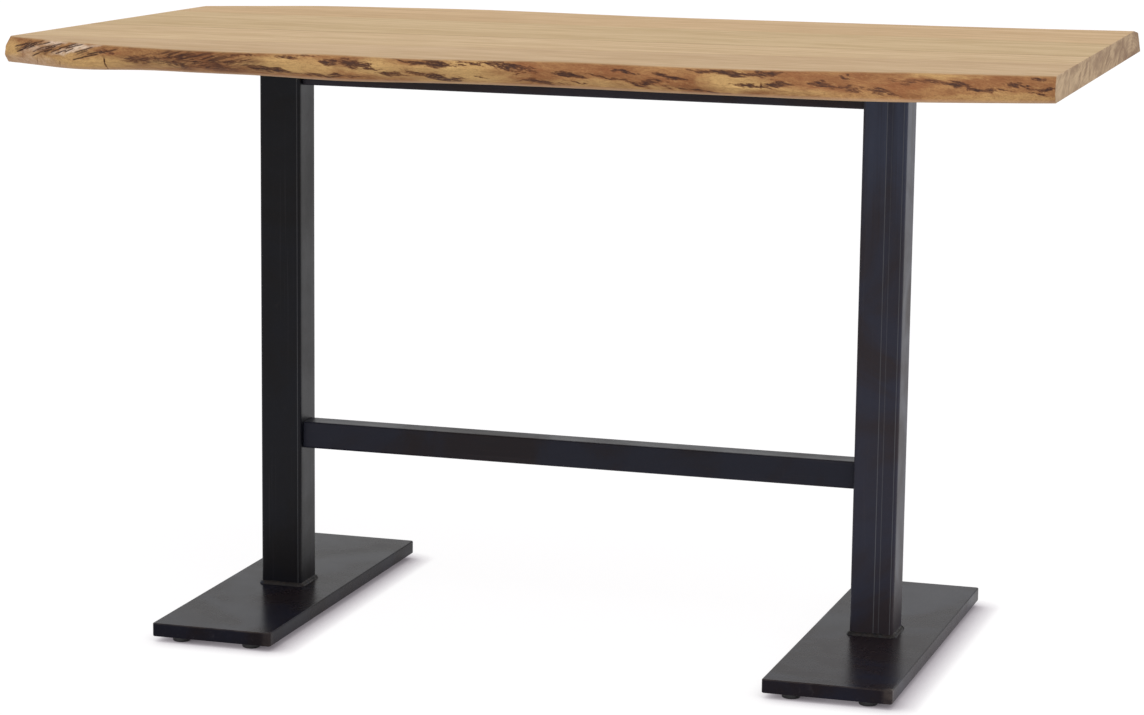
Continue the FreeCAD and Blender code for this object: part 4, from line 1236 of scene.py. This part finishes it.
def weld_ring(centre, side, corner, leg, foot, up, seed):
    """A rippled fillet weld round a square column: a bulged triangle carried along the column's outline.

    Its face is leg (1 + ripple), where the ripple is a wave that trails at the middle of the face, as the
    pool of a weld does.
    """
    s = steel()
    outline = rounded_square(side, corner, arc_steps=10, flat_steps=2)
    closed = np.concatenate((outline, outline[:1]))
    walked = np.concatenate(((0,), np.cumsum(np.hypot(*np.diff(closed, axis=0).T))))
    count = int(walked[-1] / (s.weld_pitch / 7))
    t = np.linspace(0, walked[-1], count, endpoint=False)
    path = np.column_stack([np.interp(t, walked, closed[:, k]) for k in range(2)])
    ahead, behind = np.roll(path, -1, 0), np.roll(path, 1, 0)
    run = ahead - behind
    outward = np.column_stack((run[:, 1], -run[:, 0])) / np.hypot(*run.T)[:, None]
    angle = np.linspace(0, math.pi / 2, 9)
    swell = 1 + 0.10 * waves(t, np.zeros(1), seed, 40 * MM, 9 * MM, 1.0)
    bow = np.sin(2 * angle)
    phase = 2 * math.pi * (t[:, None] + 0.9 * s.weld_pitch * bow) / s.weld_pitch
    ripple = s.weld_ripple * (0.5 + 0.5 * np.cos(phase)) * bow ** 0.5
    flat = leg * swell[:, None] / (np.cos(angle) + np.sin(angle))
    reach = flat * (1 + 0.16 * bow) + ripple - s.weld_ripple * 0.5
    reach = np.minimum(reach, leg * 1.15)
    out = np.concatenate((reach * np.cos(angle), np.zeros((count, 1))), 1)
    rise = np.concatenate((reach * np.sin(angle), np.zeros((count, 1))), 1)
    x = centre[0] + path[:, :1] + outward[:, :1] * out
    y = centre[1] + path[:, 1:] + outward[:, 1:] * out
    z = foot + up * rise
    points = np.stack((x, y, z), -1).reshape(-1, 3)
    quads = grid_quads(count, out.shape[1], wrap_rows=True, wrap_columns=True)
    return points, quads if up < 0 else quads[:, ::-1]


class BAR_TABLE_OT_welds(bpy.types.Operator):
    """Builds the rippled welds at the foot and head of each column"""

    bl_idname = "bar_table.welds"
    bl_label = "Welds"

    def execute(self, context):
        material = weld_material()
        for seed, side in enumerate(SIDES):
            low, high = node_box(f"{side}_column")
            weld_low, weld_high = node_box(f"{side}_column_welds")
            leg = low[0] - weld_low[0]
            width = high[0] - low[0]
            centre = (low + high) / 2
            corner = CORNER_SHARE["column"] * width
            foot = weld_ring(centre, width, corner, leg, weld_low[2], 1, 3 + seed)
            head = weld_ring(centre, width, corner, leg, weld_high[2], -1, 7 + seed)
            points = np.concatenate((foot[0], head[0]))
            quads = np.concatenate((foot[1], head[1] + len(foot[0])))
            make_piece(f"{side}_weld_beads", points, quads, material, TABLE,
                       [f"{side}_column_welds"])
        return {"FINISHED"}


class BAR_TABLE_OT_top_screws(bpy.types.Operator):
    """Finishes the screws that hold the slab to its plates"""

    bl_idname = "bar_table.top_screws"
    bl_label = "Top screws"

    def execute(self, context):
        dress("top_screws", zinc_material("screw zinc", 0.28, 0.46))
        return {"FINISHED"}


THREAD_PITCH = 1.25 * MM
THREAD_DEPTH = 0.65 * MM


def glide_pad(low, high):
    """A moulded pad: a drawn profile turned about its stud, with a rounded rim and a hollowed sole."""
    radius, height = (high[0] - low[0]) / 2, high[2] - low[2]
    rim = 3.2 * MM
    sole = radius - rim
    arc = np.linspace(-math.pi / 2, 0, 7)
    lower = [(sole + rim * math.cos(a), rim + rim * math.sin(a)) for a in arc]
    top_rim = 1.0 * MM
    upper_arc = np.linspace(0, math.pi / 2, 5)
    upper = [(radius - 0.5 * MM - top_rim + top_rim * math.cos(a), height - top_rim + top_rim * math.sin(a))
             for a in upper_arc]
    hollow = [(0, 0.8 * MM), (3 * MM, 0.8 * MM), (3.4 * MM, 0.4 * MM), (sole - 4 * MM, 0.4 * MM),
              (sole - 3.4 * MM, 0.0)]
    crown = [(6.4 * MM, height), (6.0 * MM, height - 0.3 * MM), (4.6 * MM, height - 0.3 * MM),
             (0, height - 0.3 * MM)]
    points, faces = revolved(hollow + lower + upper + crown, 56)
    centre = (low + high) / 2
    return points + np.array((centre[0], centre[1], low[2])), faces


def threaded_stud(low, high):
    """A threaded stud: radius = crest - depth * triangle wave of (height / pitch - turn), closed at both ends."""
    radius = (high[0] - low[0]) / 2
    turns, rows_per_pitch = 32, 5
    rows = int((high[2] - low[2]) / THREAD_PITCH * rows_per_pitch)
    angle = np.linspace(0, 2 * math.pi, turns, endpoint=False)[:, None]
    height = np.linspace(low[2], high[2], rows)
    phase = height / THREAD_PITCH - angle / (2 * math.pi)
    wave = np.abs(2 * (phase - np.floor(phase + 0.5)))
    depth = THREAD_DEPTH * np.clip(1.25 * wave - 0.1, 0, 1)
    ends = np.clip(np.minimum(height - low[2], high[2] - height) / (1.0 * MM), 0, 1)
    thread = radius - 0.01 * MM - THREAD_DEPTH * (1 - ends) - depth * ends
    centre = (low + high) / 2
    ring = np.stack((centre[0] + thread * np.cos(angle), centre[1] + thread * np.sin(angle),
                     np.broadcast_to(height, thread.shape)), -1).reshape(-1, 3)
    return close_poles(ring, turns, (centre[0], centre[1], low[2]), (centre[0], centre[1], high[2]))


class BAR_TABLE_OT_glides(bpy.types.Operator):
    """Builds the eight levelling glides, each a pad on a threaded stud"""

    bl_idname = "bar_table.glides"
    bl_label = "Glides"

    def execute(self, context):
        black, zinc = plastic_material(), zinc_material("stud zinc", 0.3, 0.45)
        for joint in frame["joints"]:
            body = joint["child"]
            pad, stud = f"{body}_pad", f"{body}_stud"
            points, faces = glide_pad(*node_box(pad))
            make_piece(f"{body}_moulding", points, faces, black, body, [pad])
            points, faces = threaded_stud(*node_box(stud))
            make_piece(f"{body}_thread", points, faces, zinc, body, [stud])
        return {"FINISHED"}


# The studio

def camera_axes(turn, dip, roll):
    """Right, up and forward of a camera turned left from +Y, dipped and then rolled."""
    level = np.array((-math.sin(turn), math.cos(turn), 0))
    side = np.array((math.cos(turn), math.sin(turn), 0))
    rise = np.array((0, 0, 1))
    forward = math.cos(dip) * level - math.sin(dip) * rise
    above = math.cos(dip) * rise + math.sin(dip) * level
    right = math.cos(roll) * side + math.sin(roll) * above
    up = -math.sin(roll) * side + math.cos(roll) * above
    return right, up, forward


# The point of the picture, in pixels, that the camera's axis passes through.
MAIN_POINT = (495, 410)
FLOOR_REACH = 60.0
# How far the painted shadow in the floor's glow reaches beside a thing, and how hard it darkens.
PAINTED_SHADOW_REACH = 48 * MM
PAINTED_SHADOW_POWER = 1.05
# The side that the ambient occlusion of the painted floor shadow looks towards, so that this painted shadow falls to
# the right.
PAINTED_SHADOW_TILT = (-0.52, -0.24, 0.72)
# Name, share of the main strength, azimuth, elevation and softness of each sun, in degrees.
SUNS = (("key light", 1.0, 38, 52, 50), ("side light", 0.35, 100, 25, 60))


def add_camera(settings):
    """The camera at the photograph's viewing angle."""
    data = bpy.data.cameras.new("camera")
    data.lens = settings.lens
    data.shift_x = (PICTURE_SIZE[0] / 2 - MAIN_POINT[0]) / PICTURE_SIZE[0]
    data.shift_y = (MAIN_POINT[1] - PICTURE_SIZE[1] / 2) / PICTURE_SIZE[0]
    camera = bpy.data.objects.new("camera", data)
    bpy.context.scene.collection.objects.link(camera)
    right, up, forward = camera_axes(settings.turn, settings.dip, settings.roll)
    turned = np.eye(4)
    turned[:3, 0], turned[:3, 1], turned[:3, 2] = right, up, -forward
    turned[:3, 3] = settings.eye
    camera.matrix_world = Matrix(turned.tolist())
    bpy.context.scene.camera = camera


def seen_or_mirrored(tree):
    """1 for what the camera, a gloss or a glass sees directly, and 0 for light that falls on the object."""
    path = tree.nodes.new("ShaderNodeLightPath")
    total = path.outputs["Is Camera Ray"]
    for other in ("Is Glossy Ray", "Is Transmission Ray"):
        step = tree.nodes.new("ShaderNodeMath")
        step.operation = "MAXIMUM"
        tree.links.new(total, step.inputs[0])
        tree.links.new(path.outputs[other], step.inputs[1])
        total = step.outputs["Value"]
    return total


def add_world(settings):
    """Even light from all round, and plain white where the camera or a gloss looks at it."""
    world = bpy.data.worlds.new("studio")
    world.use_nodes = True
    tree = world.node_tree
    background = tree.nodes["Background"]
    strength = tree.nodes.new("ShaderNodeMapRange")
    tree.links.new(seen_or_mirrored(tree), strength.inputs["Value"])
    strength.inputs["To Min"].default_value = settings.sky
    strength.inputs["To Max"].default_value = 1.0
    background.inputs["Color"].default_value = (1, 1, 1, 1)
    tree.links.new(strength.outputs["Result"], background.inputs["Strength"])
    bpy.context.scene.world = world


def add_floor(settings):
    """A pale floor that looks white to the camera, with a soft painted shadow where the table stands: its glow is
    darkened and tinted by ambient occlusion.
    """
    line = np.linspace(-FLOOR_REACH, FLOOR_REACH, 3)
    x, y = np.meshgrid(line, line, indexing="ij")
    points = np.column_stack((x.ravel(), y.ravel(), np.full(x.size, -0.3 * MM)))
    mesh = bpy.data.meshes.new("floor")
    mesh.from_pydata(points.tolist(), [], grid_quads(3, 3)[:, ::-1].tolist())
    floor = bpy.data.objects.new("floor", mesh)
    bpy.context.scene.collection.objects.link(floor)
    p = Pattern("floor")
    seen = seen_or_mirrored(p.tree)
    painted_shadow_normal = p.node("ShaderNodeCombineXYZ", zip("XYZ", PAINTED_SHADOW_TILT)).outputs["Vector"]
    # Painted shadow: ambient occlusion close to the table darkens the floor's glow and tints it.
    painted_shadow_ao = p.node("ShaderNodeAmbientOcclusion", {"Distance": PAINTED_SHADOW_REACH, "Normal": painted_shadow_normal}, samples=12)
    painted_shadow_openness = p.math("POWER", painted_shadow_ao.outputs["AO"], PAINTED_SHADOW_POWER)
    glow = p.times(p.times(seen, painted_shadow_openness), settings.floor_glow)
    p.finish(Base_Color=p.mix(seen, settings.floor, settings.floor_seen), Roughness=0.9, Specular_IOR_Level=0.0,
             Emission_Color=p.mix(painted_shadow_openness, settings.shadow, (1, 1, 1)), Emission_Strength=glow)
    mesh.materials.append(p.material)


def add_sun(name, strength, azimuth, elevation, softness):
    """A soft even light from a direction: azimuth from -Y towards +X, elevation above the floor."""
    data = bpy.data.lights.new(name, "SUN")
    data.energy = strength
    data.angle = math.radians(softness)
    lamp = bpy.data.objects.new(name, data)
    bpy.context.scene.collection.objects.link(lamp)
    a, e = math.radians(azimuth), math.radians(elevation)
    back = Vector((math.sin(a) * math.cos(e), -math.cos(a) * math.cos(e), math.sin(e)))
    lamp.rotation_euler = back.to_track_quat("Z", "Y").to_euler()


class BAR_TABLE_OT_stage(bpy.types.Operator):
    """Sets up the floor, the light and the camera"""

    bl_idname = "bar_table.stage"
    bl_label = "Stage"

    def execute(self, context):
        settings = context.scene.bar_table_studio
        add_camera(settings)
        add_world(settings)
        add_floor(settings)
        for name, share, azimuth, elevation, softness in SUNS:
            add_sun(name, settings.key * share, azimuth, elevation, softness)
        context.scene.view_settings.view_transform = "Standard"
        return {"FINISHED"}


STEPS = ("front_board", "inner_boards", "back_board", "columns", "cross_tubes", "foot_plates",
         "mounting_plates", "welds", "top_screws", "glides", "stage")


class BAR_TABLE_PT_panel(bpy.types.Panel):
    """Lists the steps and settings of the bar table"""

    bl_idname = "BAR_TABLE_PT_panel"
    bl_label = "Bar table"
    bl_space_type = "VIEW_3D"
    bl_region_type = "UI"
    bl_category = "Bar table"

    def draw(self, context):
        for step in STEPS:
            self.layout.operator(f"bar_table.{step}")
        for group in (context.scene.bar_table_wood, context.scene.bar_table_steel, context.scene.bar_table_studio):
            for setting in group.__annotations__:
                self.layout.prop(group, setting)


SETTINGS = {"bar_table_wood": WoodSettings, "bar_table_steel": SteelSettings, "bar_table_studio": StudioSettings}
CLASSES = (WoodSettings, SteelSettings, StudioSettings,
           BAR_TABLE_OT_front_board, BAR_TABLE_OT_inner_boards, BAR_TABLE_OT_back_board, BAR_TABLE_OT_columns,
           BAR_TABLE_OT_cross_tubes, BAR_TABLE_OT_foot_plates, BAR_TABLE_OT_mounting_plates, BAR_TABLE_OT_welds,
           BAR_TABLE_OT_top_screws, BAR_TABLE_OT_glides, BAR_TABLE_OT_stage, BAR_TABLE_PT_panel)


def register():
    """Makes the settings, steps and panel known to Blender."""
    for kind in CLASSES:
        bpy.utils.register_class(kind)
    for name, kind in SETTINGS.items():
        setattr(bpy.types.Scene, name, PointerProperty(type=kind))


def unregister():
    """Takes them away again."""
    for name in SETTINGS:
        delattr(bpy.types.Scene, name)
    for kind in reversed(CLASSES):
        bpy.utils.unregister_class(kind)


def main():
    """Builds everything in order."""
    register()
    for step in STEPS:
        getattr(bpy.ops.bar_table, step)()


if __name__ == "__main__":
    main()
